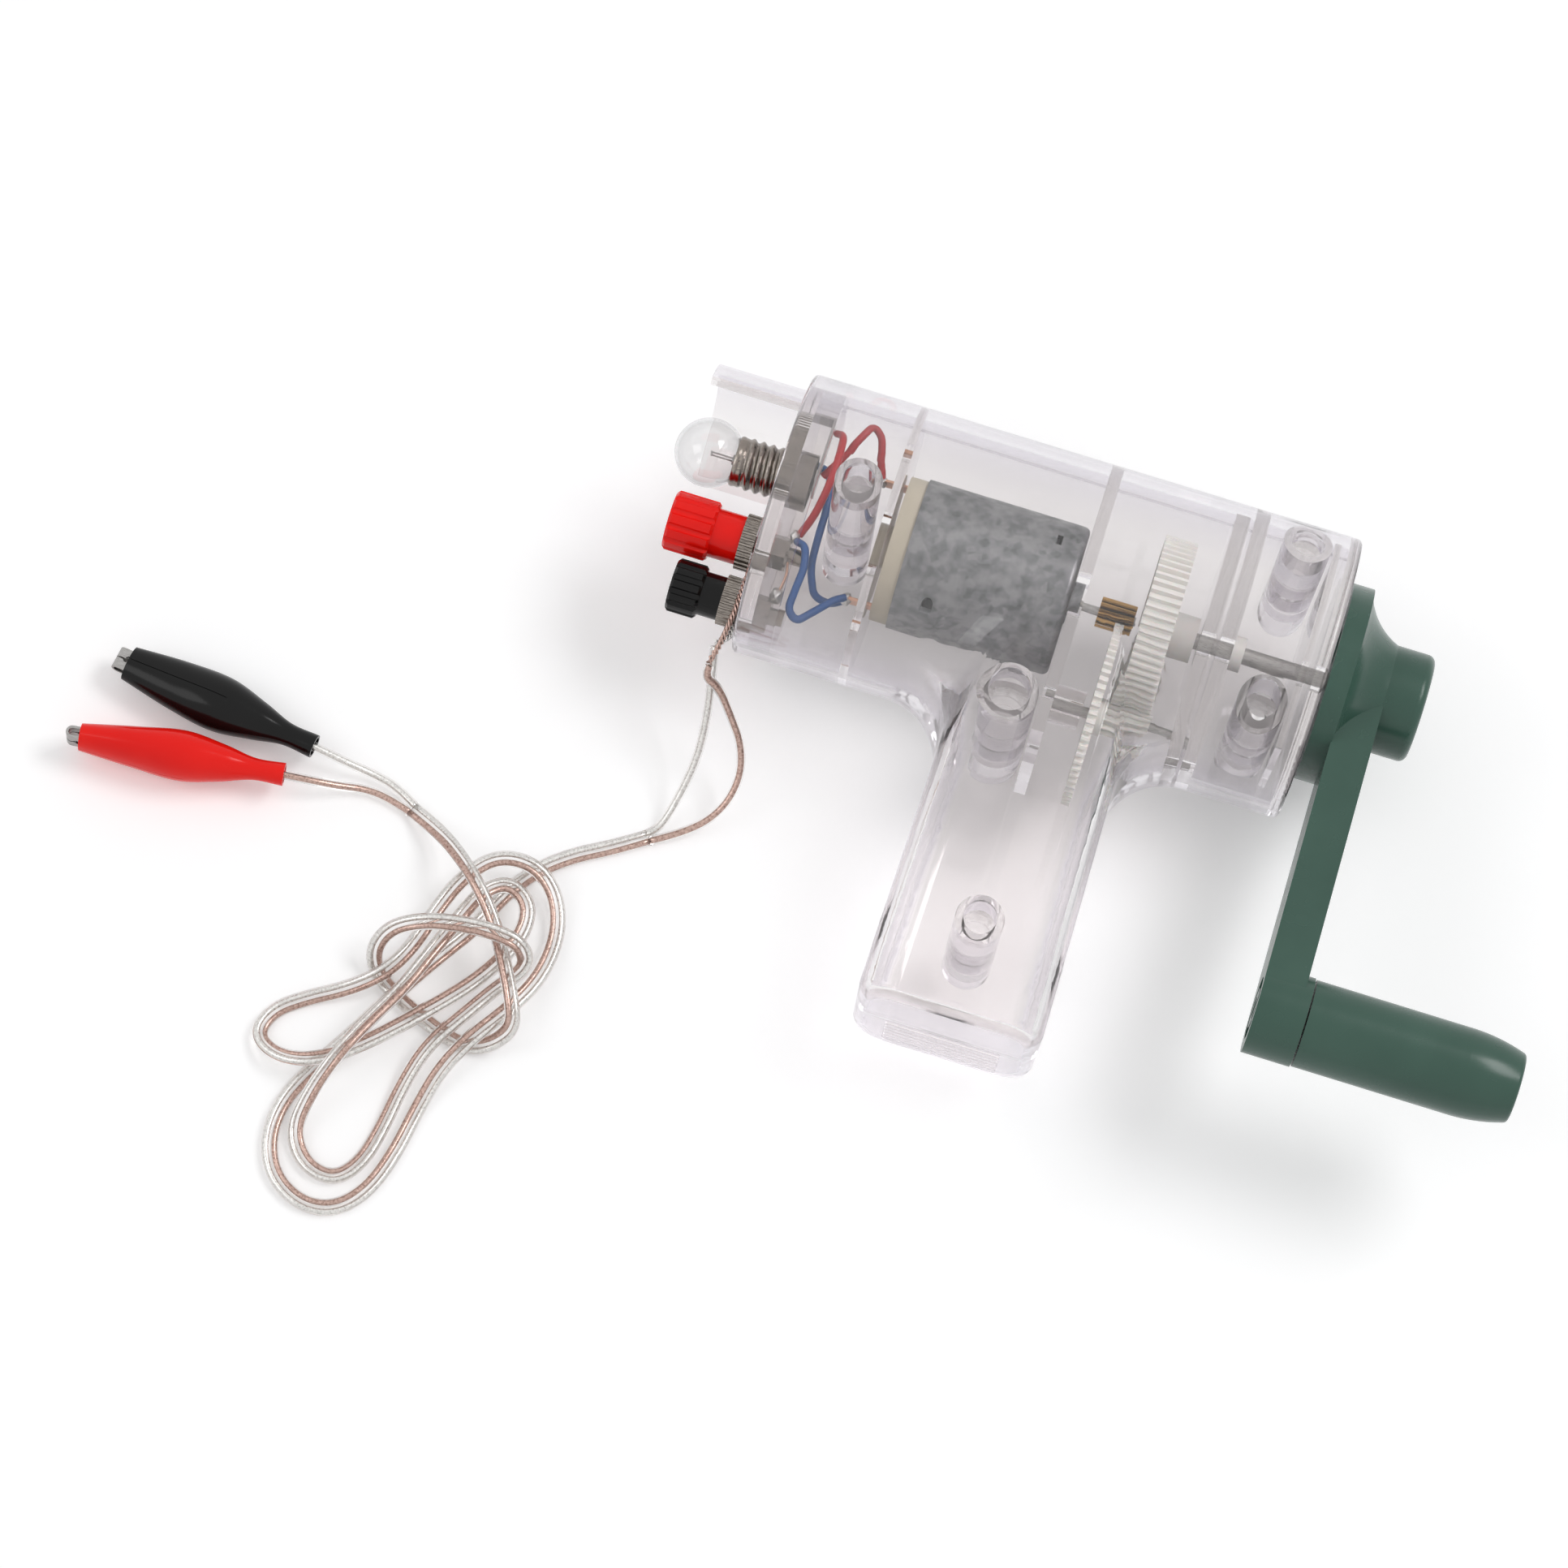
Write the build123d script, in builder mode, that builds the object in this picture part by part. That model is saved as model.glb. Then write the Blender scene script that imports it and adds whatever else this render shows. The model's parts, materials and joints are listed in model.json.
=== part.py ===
from build123d import *
import os
from math import acos, asin, atan2, cos, degrees, hypot, pi, radians, sin, sqrt, tan

# Hand crank generator in clear plastic, lying on its side on a table.
# Device frame (mm): X along the tube from its front face to the crank, Y away from the grip,
# Z across the tube. rest_place at the end lays the device on the table, +Z up.

# ---------- housing ----------
tube_radius = 26.0
tube_length = 102.2
wall = 2.2
edge_round = 1.0
grip_x = 56.8                 # middle of the grip along the tube
grip_top_y = -8.0
grip_top_width = 30.4
grip_top_thickness = 49.0
grip_bottom_y = -83.5
grip_bottom_width = 33.4
grip_bottom_thickness = 34.4
grip_corner = 7.0
grip_fillet = 12.0
grip_foot_round = 3.0
foot_rib_count = 6            # fine ribs on the far half of the foot
foot_rib_pitch = 2.0
foot_rib_height = 0.4
foot_rib_width = 0.9
foot_rib_length = 21.0
run_gap = 0.06                # radial clearance of a shaft in its bore
fit_gap = 0.1                 # clearance of a seated piece

# ---------- inner plates, each from front to rear ----------
back_plate = (20.0, 21.5)
motor_plate = (55.7, 57.9)
bearing_rib = (79.2, 81.8)
bearing_plate = (82.6, 85.2)
rear_rib = (97.4, 98.6)
motor_plate_foot_y = -31.0
bearing_rib_foot_y = -24.7
bearing_rib_top_y = 18.7
idler_hub_radius = 3.6
idler_hub_end = 63.2

# ---------- posts that join the two shells: x, y, outer radius ----------
posts = (
    (14.0, 2.0, 4.25), (50.1, -25.9, 5.2), (56.9, -65.7, 4.35), (92.7, 16.8, 4.4), (92.8, -13.6, 4.4),
)
post_wall = 1.4
post_split_z = 1.0
pin_length = 7.0
post_core_depth = 7.0

# ---------- front panel with its hood ----------
panel_thickness = 2.4
panel_rim_depth = 6.6
panel_rim_wall = 1.5
hood_radius = 22.7
hood_wall = 1.7
hood_length = 16.8
hood_near_angle = 47.0
hood_far_angle = -69.0

# ---------- lamp ----------
lamp_y = 7.3
globe_radius = 6.35
globe_x = -14.3
glass_wall = 0.5
cap_radius = 4.6
cap_start = -9.4
cap_end = 3.6
thread_pitch = 1.81
thread_height = 0.2
socket_wall = 0.5
socket_start = -1.0
socket_end = 5.0
tip_end = 5.3
contact_thickness = 0.5
contact_width = 4.0
contact_top_y = 20.6

# ---------- binding posts ----------
red_y = -6.9
red_head = (-17.3, 5.5)       # front face, radius
red_neck = (-9.0, 4.5)
black_y = -18.4
black_head = (-13.3, 4.9)
black_neck = (-7.6, 4.0)
cap_seat = -3.9
flute_count = 12
flute_radius = 0.7
stud_radius = 3.0
jack_radius = 2.05
jack_depth = 8.0
stud_tail_radius = 1.5
stud_tail_end = 7.6
knurl_radius = 5.15
black_knurl_radius = 4.6
knurl_count = 30
knurl_start = cap_seat
knurl_end = -1.3
hex_width = 5.5
hex_start = panel_thickness + 0.4
hex_end = hex_start + 1.8

# ---------- motor ----------
can_radius = 13.85
can_start = 25.3
can_end = 55.4
can_wall = 0.9
motor_hub_radius = 4.0
bell_start = 22.0
bell_radius = 13.4
magnet_thickness = 3.2
magnet_length = 20.0
air_gap = 0.4
motor_shaft_radius = 1.0
terminal_y = 11.6
terminal_length = 4.4
commutator_radius = 2.6
brush_height = 4.5

# ---------- gear train ----------
gear_module = 0.5
big_teeth = 66
small_teeth = 10
tip_stub = 0.3                # the wheels' teeth are short, for pinions of ten teeth
pinion_tip = 0.5
tooth_root = 0.6
tooth_thinning = 0.05
pressure_angle = radians(20.0)
idler_gear_x = (64.4, 66.0)
motor_pinion_x = (60.9, 67.4)
crank_gear_x = (68.5, 74.4)
idler_pinion_x = (68.0, 75.0)
idler_shaft_radius = 1.0
idler_shaft_x = (56.2, 84.2)
crank_shaft_radius = 1.5
crank_shaft_end = 116.0
crank_gear_hub_radius = 4.2
crank_gear_hub_end = 78.8

# ---------- crank ----------
crank_rest_angle = -13.9      # turned about the tube's axis, from straight down the grip
crank_start = 102.9
disc_radius = 18.2
disc_end = 106.8
boss_radius = 9.9
boss_end = 120.9
boss_flare = 6.9
arm_start = 106.6
arm_end = 113.9
arm_width = 15.2
crank_throw = 68.1
lug_radius = 8.0
lug_end = 115.3
knob_start = 115.6
knob_end = 153.8
knob_radius = 7.8
knob_taper_start = 144.0
knob_end_radius = 6.1
axle_radius = 2.0
axle_head_radius = 3.4
axle_head_seat = 149.0
screw_head_radius = 3.5
screw_seat = 118.0

# ---------- lead, clips ----------
lead_diameter = 1.9
cord_diameter = 2.8
pigtail_diameter = 1.1
wire_diameter = 1.4
clip_length = 39.6
boot_length = 37.0
boot_wall = 0.5
clip_pivot = 23.5
clip_open = 15.0
clip_pin_radius = 0.8

os.makedirs("parts", exist_ok=True)
device_nodes = []
table_nodes = []


def keep(name, part, on_table=False):
    """Name a finished piece and list it with the device or with what lies on the table."""
    part.label = name
    (table_nodes if on_table else device_nodes).append(part)


def ring(name, radius_out, radius_in, start, end, y=0.0):
    """A turned ring along X about a parallel axis at height y."""
    with BuildPart() as turned:
        with BuildSketch(Plane.YZ.offset(start)):
            with Locations((y, 0)):
                Circle(radius_out)
                if radius_in:
                    Circle(radius_in, mode=Mode.SUBTRACT)
        extrude(amount=end - start)
    turned.part.label = name
    return turned.part


def arc_radii(points):
    """The radius at each corner of a cord's route: 0.45 of the shorter run over tan(half turn)."""
    radii = []
    for before, here, after in zip(points, points[1:], points[2:]):
        run_in = Vector(*here) - Vector(*before)
        run_out = Vector(*after) - Vector(*here)
        turn = radians(run_in.get_angle(run_out))
        radii.append(0.45 * min(run_in.length, run_out.length) / tan(turn / 2))
    return radii


def tube(points, diameter):
    """A round tube along straight runs joined by tangent arcs."""
    radii = arc_radii(points)
    with BuildPart() as cord:
        with BuildLine() as route:
            FilletPolyline(*points, radius=radii)
        start_plane = Plane(origin=route.wire() @ 0, z_dir=route.wire() % 0)
        with BuildSketch(start_plane):
            Circle(diameter / 2)
        sweep()
    return cord.part, route.wire(), radii


# ================= housing =================
def housing_form(inset, x_front, x_rear):
    """Tube and grip with their fillet, all faces moved in by inset."""
    with BuildPart() as form:
        with BuildSketch(Plane.YZ.offset(x_front)):
            Circle(tube_radius - inset)
        extrude(amount=x_rear - x_front)
        with BuildSketch(Plane.XZ.offset(-grip_top_y)):
            with Locations((grip_x, 0)):
                RectangleRounded(
                    grip_top_width - 2 * inset, grip_top_thickness - 2 * inset, grip_corner - inset
                )
        with BuildSketch(Plane.XZ.offset(-grip_bottom_y - inset)):
            with Locations((grip_x, 0)):
                RectangleRounded(
                    grip_bottom_width - 2 * inset, grip_bottom_thickness - 2 * inset,
                    grip_corner - inset,
                )
        loft()
        foot = form.edges().group_by(Axis.Y)[0]
        root = form.edges().filter_by(
            lambda e: e.length > 20 and e.bounding_box().size.X < 5
            and e.bounding_box().min.Y > -tube_radius - 1
            and e.bounding_box().max.Y < grip_top_y - 1
        )
        fillet(root, grip_fillet)
        fillet(foot, max(grip_foot_round - inset, 0.6))
    return form.part


inner_radius = tube_radius - wall
center_distance = gear_module * (big_teeth + small_teeth) / 2
idler_y = -center_distance

outer_form = housing_form(0.0, 0.0, tube_length)
inner_form = housing_form(wall, -1.0, tube_length - wall)
middle_form = housing_form(wall / 2, 0.5, tube_length - wall / 2)


def plate(span, low, high):
    """An inner plate between two heights, cut to the inside of the housing."""
    with BuildPart() as web:
        with BuildSketch(Plane.YZ.offset(span[0])):
            with Locations(((low + high) / 2, 0)):
                Rectangle(high - low, 2 * tube_radius)
        extrude(amount=span[1] - span[0])
        add(middle_form, mode=Mode.INTERSECT)
    return web.part


def bore(radius, span, y=0.0):
    """The tool for a round hole along X, half a millimetre past both faces."""
    return ring("bore", radius, 0, span[0] - 0.5, span[1] + 0.5, y)


with BuildPart() as housing:
    add(outer_form)
    rims = housing.edges().filter_by(GeomType.CIRCLE).filter_by(lambda e: e.radius > tube_radius - 0.1)
    fillet(rims, edge_round)
    add(inner_form, mode=Mode.SUBTRACT)
    add(plate(back_plate, -tube_radius, tube_radius))
    add(plate(motor_plate, motor_plate_foot_y, tube_radius))
    add(plate(bearing_rib, bearing_rib_foot_y, bearing_rib_top_y))
    add(plate(bearing_plate, -tube_radius, tube_radius))
    add(plate(rear_rib, -bearing_rib_top_y, bearing_rib_top_y))
    with BuildSketch(Plane.YZ.offset(motor_plate[1])):
        with Locations((idler_y, 0)):
            Circle(idler_hub_radius)
    extrude(amount=idler_hub_end - motor_plate[1])
    for post_x, post_y, post_radius in posts:
        with BuildSketch(Plane.XY.offset(-tube_radius)):
            with Locations((post_x, post_y)):
                Circle(post_radius)
        extrude(amount=2 * tube_radius)
    add(outer_form, mode=Mode.INTERSECT)
    add(bore(motor_hub_radius + fit_gap, back_plate), mode=Mode.SUBTRACT)
    add(bore(motor_hub_radius + fit_gap, motor_plate), mode=Mode.SUBTRACT)
    add(bore(crank_shaft_radius + run_gap, bearing_rib), mode=Mode.SUBTRACT)
    add(bore(crank_shaft_radius + run_gap, bearing_plate), mode=Mode.SUBTRACT)
    add(bore(crank_shaft_radius + run_gap, (rear_rib[0], tube_length)), mode=Mode.SUBTRACT)
    add(bore(idler_shaft_radius + run_gap, (motor_plate[0], idler_hub_end), idler_y), mode=Mode.SUBTRACT)
    add(bore(idler_shaft_radius + run_gap, bearing_rib, idler_y), mode=Mode.SUBTRACT)
    add(bore(idler_shaft_radius + run_gap, bearing_plate, idler_y), mode=Mode.SUBTRACT)
    with BuildSketch(Plane.YZ.offset(back_plate[0] - 0.5)):
        with Locations((terminal_y, 0), (-terminal_y, 0)):
            Rectangle(2.0, 4.4)
    extrude(amount=back_plate[1] - back_plate[0] + 1.0, mode=Mode.SUBTRACT)
    for post_x, post_y, post_radius in posts:
        in_grip = grip_bottom_thickness / 2 + 0.12 * (post_y - grip_bottom_y)
        skin = sqrt(tube_radius ** 2 - post_y ** 2) if post_y > -20 else in_grip
        for side in (1, -1):
            with BuildSketch(Plane.XY.offset(side * tube_radius)):
                with Locations((post_x, post_y)):
                    Circle(post_radius - post_wall)
            extrude(amount=-side * (tube_radius - skin + post_core_depth), mode=Mode.SUBTRACT)


def shell(side):
    """One half of the housing, with the pins or the sockets of the posts."""
    with BuildPart() as half:
        add(housing.part)
        split(bisect_by=Plane.XY, keep=Keep.TOP if side > 0 else Keep.BOTTOM)
        if side < 0:
            with BuildSketch(Plane.XZ.offset(-grip_bottom_y - 0.2)):
                for rib in range(foot_rib_count):
                    with Locations((grip_x, -foot_rib_pitch * (rib + 0.8))):
                        SlotOverall(foot_rib_length, foot_rib_width)
            extrude(amount=foot_rib_height + 0.2)
        for post_x, post_y, post_radius in posts:
            pin_radius = post_radius - post_wall
            with BuildSketch(Plane.XY.offset(0.0)):
                with Locations((post_x, post_y)):
                    Circle(pin_radius if side > 0 else pin_radius + fit_gap)
            if side > 0:
                extrude(amount=-pin_length)
            else:
                extrude(amount=-pin_length - 0.5, mode=Mode.SUBTRACT)
    return half.part


keep("shell_left", shell(1))
keep("shell_right", shell(-1))

# ================= front panel with its hood =================
with BuildPart() as panel:
    with BuildSketch(Plane.YZ.offset(0.4)):
        Circle(inner_radius - fit_gap)
    extrude(amount=panel_thickness)
    with BuildSketch(Plane.YZ.offset(0.4)):
        Circle(inner_radius - fit_gap)
        Circle(inner_radius - fit_gap - panel_rim_wall, mode=Mode.SUBTRACT)
    extrude(amount=panel_rim_depth)
    with BuildSketch(Plane.YZ.offset(0.4)):
        with BuildLine():
            near = hood_near_angle
            far = hood_far_angle
            outer_arc = CenterArc((0, 0), hood_radius, far, near - far)
            inner_arc = CenterArc((0, 0), hood_radius - hood_wall, far, near - far)
            Line(outer_arc @ 0, inner_arc @ 0)
            Line(outer_arc @ 1, inner_arc @ 1)
        make_face()
    extrude(amount=-hood_length - 0.4)
    panel_span = (0.0, panel_thickness + 1.0)
    add(bore(cap_radius + thread_height + fit_gap + socket_wall, panel_span, lamp_y), mode=Mode.SUBTRACT)
    add(bore(stud_tail_radius + fit_gap, panel_span, red_y), mode=Mode.SUBTRACT)
    add(bore(stud_tail_radius + fit_gap, panel_span, black_y), mode=Mode.SUBTRACT)
keep("front_panel", panel.part)

# ================= lamp =================
socket_radius = cap_radius + thread_height + fit_gap
keep("lamp_socket", ring(
    "lamp_socket", socket_radius + socket_wall, socket_radius, socket_start, socket_end, lamp_y
))

with BuildPart() as contact:
    with BuildSketch(Plane.XY.offset(-contact_width / 2)):
        foot_x = tip_end + fit_gap
        with BuildLine():
            Polyline(
                (foot_x, lamp_y - 2.0), (foot_x + contact_thickness, lamp_y - 2.0),
                (foot_x + contact_thickness, contact_top_y), (panel_thickness + 0.4, contact_top_y),
                (panel_thickness + 0.4, contact_top_y - contact_thickness),
                (foot_x, contact_top_y - contact_thickness), close=True,
            )
        make_face()
    extrude(amount=contact_width)
keep("lamp_contact", contact.part)


lamp_axis = Axis((0, lamp_y, 0), (1, 0, 0))


def globe(radius, neck_radius, neck_end):
    """The bulb's globe and neck as a solid about the lamp's axis."""
    meet = globe_x + sqrt(radius ** 2 - neck_radius ** 2)
    with BuildPart() as bulb:
        with BuildSketch(Plane.XY.shift_origin((0, lamp_y, 0))):
            with BuildLine():
                dome = ThreePointArc((globe_x - radius, 0), (globe_x, radius), (meet, neck_radius))
                Polyline(dome @ 1, (neck_end, neck_radius), (neck_end, 0), dome @ 0)
            make_face()
        revolve(axis=lamp_axis)
    return bulb.part


neck_radius = cap_radius - 0.7
with BuildPart() as glass:
    add(globe(globe_radius, neck_radius, cap_start + 2.0))
    add(globe(globe_radius - glass_wall, neck_radius - glass_wall, cap_start + 2.0), mode=Mode.SUBTRACT)
keep("bulb_glass", glass.part)

with BuildPart() as lamp_cap:
    with BuildSketch(Plane.XY.shift_origin((0, lamp_y, 0))):
        with BuildLine():
            inside = cap_radius - 0.5
            cap_points = [(cap_start, inside), (cap_start, cap_radius + 0.15), (cap_start + 1.0, cap_radius + 0.15)]
            turns = int((cap_end - cap_start - 2.4) / thread_pitch)
            for turn in range(turns):
                root_x = cap_start + 1.4 + turn * thread_pitch
                cap_points += [(root_x, cap_radius - 0.35), (root_x + thread_pitch / 2, cap_radius + thread_height)]
            cap_points += [
                (cap_end - 0.6, cap_radius - 0.35), (cap_end, cap_radius - 0.8), (cap_end + 0.9, 2.0),
                (cap_end + 0.9, 1.6), (tip_end - 0.3, 1.4), (tip_end, 0.7), (tip_end, 0.0),
                (cap_end - 0.5, 0.0), (cap_end - 0.5, inside - 0.6), (cap_start + 2.6, inside - 0.6),
                (cap_start + 2.6, 0.0), (cap_start + 2.0, 0.0), (cap_start + 2.0, inside),
            ]
            Polyline(*cap_points, close=True)
        make_face()
    revolve(axis=lamp_axis)
keep("bulb_cap", lamp_cap.part)

with BuildPart() as filament:
    stem_start = cap_start + 2.0
    with BuildSketch(Plane.YZ.offset(stem_start)):
        with Locations((lamp_y, 0)):
            Circle(1.3)
    extrude(amount=-2.6, taper=8)
    for side in (1, -1):
        with BuildSketch(Plane.YZ.offset(stem_start - 2.0)):
            with Locations((lamp_y, side * 0.8)):
                Circle(0.16)
        extrude(amount=-4.6)
    with BuildSketch(Plane.XY.offset(-1.0)):
        with Locations((stem_start - 6.5, lamp_y)):
            Circle(0.2)
    extrude(amount=2.0)
keep("bulb_filament", filament.part)


# ================= binding posts =================
def post_cap(name, y, head, neck):
    """A plastic cap with a fluted head, bored for its stud."""
    with BuildPart() as cap:
        with BuildSketch(Plane.YZ.offset(head[0])):
            with Locations((y, 0)):
                Circle(head[1])
        extrude(amount=neck[0] - head[0])
        chamfer(cap.edges().filter_by(GeomType.CIRCLE), 0.5)
        with BuildSketch(Plane.YZ.offset(head[0])):
            with Locations((y, 0)):
                with PolarLocations(head[1] + 0.25, flute_count):
                    Circle(flute_radius)
        extrude(amount=neck[0] - head[0], mode=Mode.SUBTRACT)
        with BuildSketch(Plane.YZ.offset(neck[0])):
            with Locations((y, 0)):
                Circle(neck[1])
        extrude(amount=cap_seat - neck[0])
        add(bore(stud_radius + fit_gap, (head[0], cap_seat), y), mode=Mode.SUBTRACT)
    keep(name, cap.part)


post_cap("post_cap_red", red_y, red_head, red_neck)
post_cap("post_cap_black", black_y, black_head, black_neck)

with BuildPart() as studs:
    for stud_y, head_x in ((red_y, red_head[0]), (black_y, black_head[0])):
        with BuildSketch(Plane.YZ.offset(head_x + 0.5)):
            with Locations((stud_y, 0)):
                Circle(stud_radius)
        extrude(amount=knurl_end - head_x - 0.5)
        with BuildSketch(Plane.YZ.offset(knurl_end)):
            with Locations((stud_y, 0)):
                Circle(stud_tail_radius)
        extrude(amount=stud_tail_end - knurl_end)
        with BuildSketch(Plane.YZ.offset(head_x + 0.5)):
            with Locations((stud_y, 0)):
                Circle(jack_radius)
        extrude(amount=jack_depth, mode=Mode.SUBTRACT)
keep("post_studs", studs.part)

with BuildPart() as knurled:
    for nut_y, nut_radius in ((red_y, knurl_radius), (black_y, black_knurl_radius)):
        with BuildSketch(Plane.YZ.offset(knurl_start)):
            with Locations((nut_y, 0)):
                Circle(nut_radius)
                with PolarLocations(nut_radius + 0.15, knurl_count):
                    Circle(0.4, mode=Mode.SUBTRACT)
                Circle(stud_radius, mode=Mode.SUBTRACT)
        extrude(amount=knurl_end - knurl_start)
keep("post_knurled_nuts", knurled.part)

with BuildPart() as hex_nuts:
    with BuildSketch(Plane.YZ.offset(hex_start)):
        with Locations((red_y, 0), (black_y, 0)):
            RegularPolygon(hex_width / 2, 6, major_radius=False)
            Circle(stud_tail_radius, mode=Mode.SUBTRACT)
    extrude(amount=hex_end - hex_start)
keep("post_hex_nuts", hex_nuts.part)

with BuildPart() as tags:
    for tag_y in (red_y, black_y):
        with BuildSketch(Plane.YZ.offset(hex_end)):
            with Locations((tag_y, 0)):
                Circle(3.0)
            with Locations((tag_y, 3.2)):
                RectangleRounded(2.4, 4.4, 0.8)
            with Locations((tag_y, 0)):
                Circle(stud_tail_radius, mode=Mode.SUBTRACT)
        extrude(amount=0.5)
keep("solder_tags", tags.part)

# ================= motor =================
with BuildPart() as can:
    with BuildSketch(Plane.YZ.offset(can_start)):
        Circle(can_radius)
    extrude(amount=can_end - can_start)
    fillet(can.edges().group_by(Axis.X)[-1], 1.2)
    with BuildSketch(Plane.YZ.offset(can_start)):
        Circle(can_radius - can_wall)
    extrude(amount=can_end - can_start - can_wall, mode=Mode.SUBTRACT)
    with BuildSketch(Plane.YZ.offset(can_end)):
        Circle(motor_hub_radius)
    extrude(amount=2.0)
    add(bore(2.6, (can_end - 2.0, can_end + 2.0)), mode=Mode.SUBTRACT)
    for slot_angle in (62, 14, -118, -166):
        slot_plane = Plane(
            origin=(can_end - 4.8, can_radius * cos(radians(slot_angle)), can_radius * sin(radians(slot_angle))),
            x_dir=(1, 0, 0), z_dir=(0, cos(radians(slot_angle)), sin(radians(slot_angle))),
        )
        with BuildSketch(slot_plane):
            Rectangle(1.0, 2.4)
        extrude(amount=3.0, both=True, mode=Mode.SUBTRACT)
    with BuildSketch(Plane.XY.offset(can_radius / 2)):
        with Locations((31.5, -12.0)):
            SlotCenterToCenter(2.2, 2.0, rotation=90)
    extrude(amount=can_radius, mode=Mode.SUBTRACT)
keep("motor_can", can.part)

with BuildPart() as bell:
    with BuildSketch(Plane.YZ.offset(bell_start)):
        Circle(bell_radius)
    extrude(amount=can_start - bell_start)
    with BuildSketch(Plane.YZ.offset(can_start)):
        Circle(can_radius - can_wall - fit_gap)
        Circle(can_radius - can_wall - 2.2, mode=Mode.SUBTRACT)
    extrude(amount=3.0)
    with BuildSketch(Plane.YZ.offset(bell_start)):
        Circle(motor_hub_radius)
    extrude(amount=-2.6)
    add(bore(motor_shaft_radius + run_gap, (bell_start - 3.0, can_start)), mode=Mode.SUBTRACT)
    for side in (1, -1):
        with BuildSketch(Plane.YZ.offset(can_start)):
            with Locations((side * (commutator_radius + 1.0 + brush_height / 2), 0)):
                Rectangle(brush_height + 1.2, 4.6)
                Rectangle(brush_height + 4.0, 2.6, mode=Mode.SUBTRACT)
        extrude(amount=4.2)
keep("motor_end_bell", bell.part)

core_x = (31.6, 49.6)
rotor_radius = can_radius - can_wall - magnet_thickness - air_gap
with BuildPart() as magnets:
    for side in (1, -1):
        with BuildSketch(Plane.YZ.offset(core_x[0] - 1.0)):
            with BuildLine():
                outer = CenterArc((0, 0), can_radius - can_wall, 90 * side - 62, 124)
                inner = CenterArc((0, 0), can_radius - can_wall - magnet_thickness, 90 * side - 62, 124)
                Line(outer @ 0, inner @ 0)
                Line(outer @ 1, inner @ 1)
            make_face()
        extrude(amount=magnet_length)
keep("motor_magnets", magnets.part)

with BuildPart() as core:
    with BuildSketch(Plane.YZ.offset(core_x[0])):
        Circle(rotor_radius)
        with PolarLocations(0, 3):
            with Locations((rotor_radius - 4.6, 0)):
                Circle(3.1, mode=Mode.SUBTRACT)
            with Locations((rotor_radius - 1.0, 0)):
                Rectangle(3.4, 1.4, mode=Mode.SUBTRACT)
        Circle(motor_shaft_radius, mode=Mode.SUBTRACT)
    extrude(amount=core_x[1] - core_x[0])
keep("armature_core", core.part)

with BuildPart() as windings:
    for end_x in (core_x[0] - 2.0, core_x[1]):
        with BuildSketch(Plane.YZ.offset(end_x)):
            for spoke in range(3):
                with Locations(Rotation(0, 0, 60 + 120 * spoke)):
                    with Locations((rotor_radius / 2, 0)):
                        Ellipse(rotor_radius / 2 - 1.7, 2.7)
        extrude(amount=2.0)
keep("armature_windings", windings.part)

keep("commutator", ring("commutator", commutator_radius, motor_shaft_radius, can_start + 0.5, core_x[0] - 2.7))

with BuildPart() as brushes:
    with BuildSketch(Plane.YZ.offset(can_start + 0.8)):
        for side in (1, -1):
            with Locations((side * (commutator_radius + 0.1 + brush_height / 2), 0)):
                Rectangle(brush_height, 2.4)
    extrude(amount=2.2)
keep("motor_brushes", brushes.part)

with BuildPart() as terminals:
    for side in (1, -1):
        with BuildSketch(Plane.YZ.offset(bell_start)):
            with Locations((side * terminal_y, 0)):
                RectangleRounded(0.6, 3.0, 0.2)
        extrude(amount=-terminal_length)
keep("motor_terminals", terminals.part)

keep("motor_bushing", ring("motor_bushing", 2.6, motor_shaft_radius + run_gap, can_end - 1.8, can_end + 2.0))
keep("motor_shaft", ring(
    "motor_shaft", motor_shaft_radius, 0, bell_start - 2.0, motor_pinion_x[1] + 0.3
))


# ================= gear train =================
def tooth_points(teeth, addendum, turned):
    """Corners of a spur gear: involute flanks, two points each, over straight roots."""
    pitch = gear_module * teeth / 2
    base = pitch * cos(pressure_angle)
    half_at_pitch = (pi * gear_module / 2 - tooth_thinning) / (2 * pitch)
    involute_at_pitch = tan(pressure_angle) - pressure_angle
    points = []

    def half_angle(radius):
        slope = acos(min(1.0, base / max(radius, base)))
        return half_at_pitch + involute_at_pitch - (tan(slope) - slope)

    root = pitch - tooth_root
    tip = pitch + addendum
    flank = [root, max(base, root + 0.05), (max(base, root) + tip) / 2, tip]
    for tooth in range(teeth):
        middle = turned + 2 * pi * tooth / teeth
        side_in = [(r, middle - half_angle(r)) for r in flank]
        side_out = [(r, middle + half_angle(r)) for r in reversed(flank)]
        points += [(r * cos(a), r * sin(a)) for r, a in side_in + side_out]
    return points


def gear(teeth, addendum, turned, span, y, bore_radius):
    """A spur gear along X about an axis at height y; turned is the angle of its first tooth."""
    with BuildPart() as wheel:
        with BuildSketch(Plane.YZ.offset(span[0])):
            with Locations((y, 0)):
                with BuildLine():
                    Polyline(*tooth_points(teeth, addendum, turned), close=True)
                make_face()
                Circle(bore_radius, mode=Mode.SUBTRACT)
        extrude(amount=span[1] - span[0])
    return wheel.part


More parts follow.
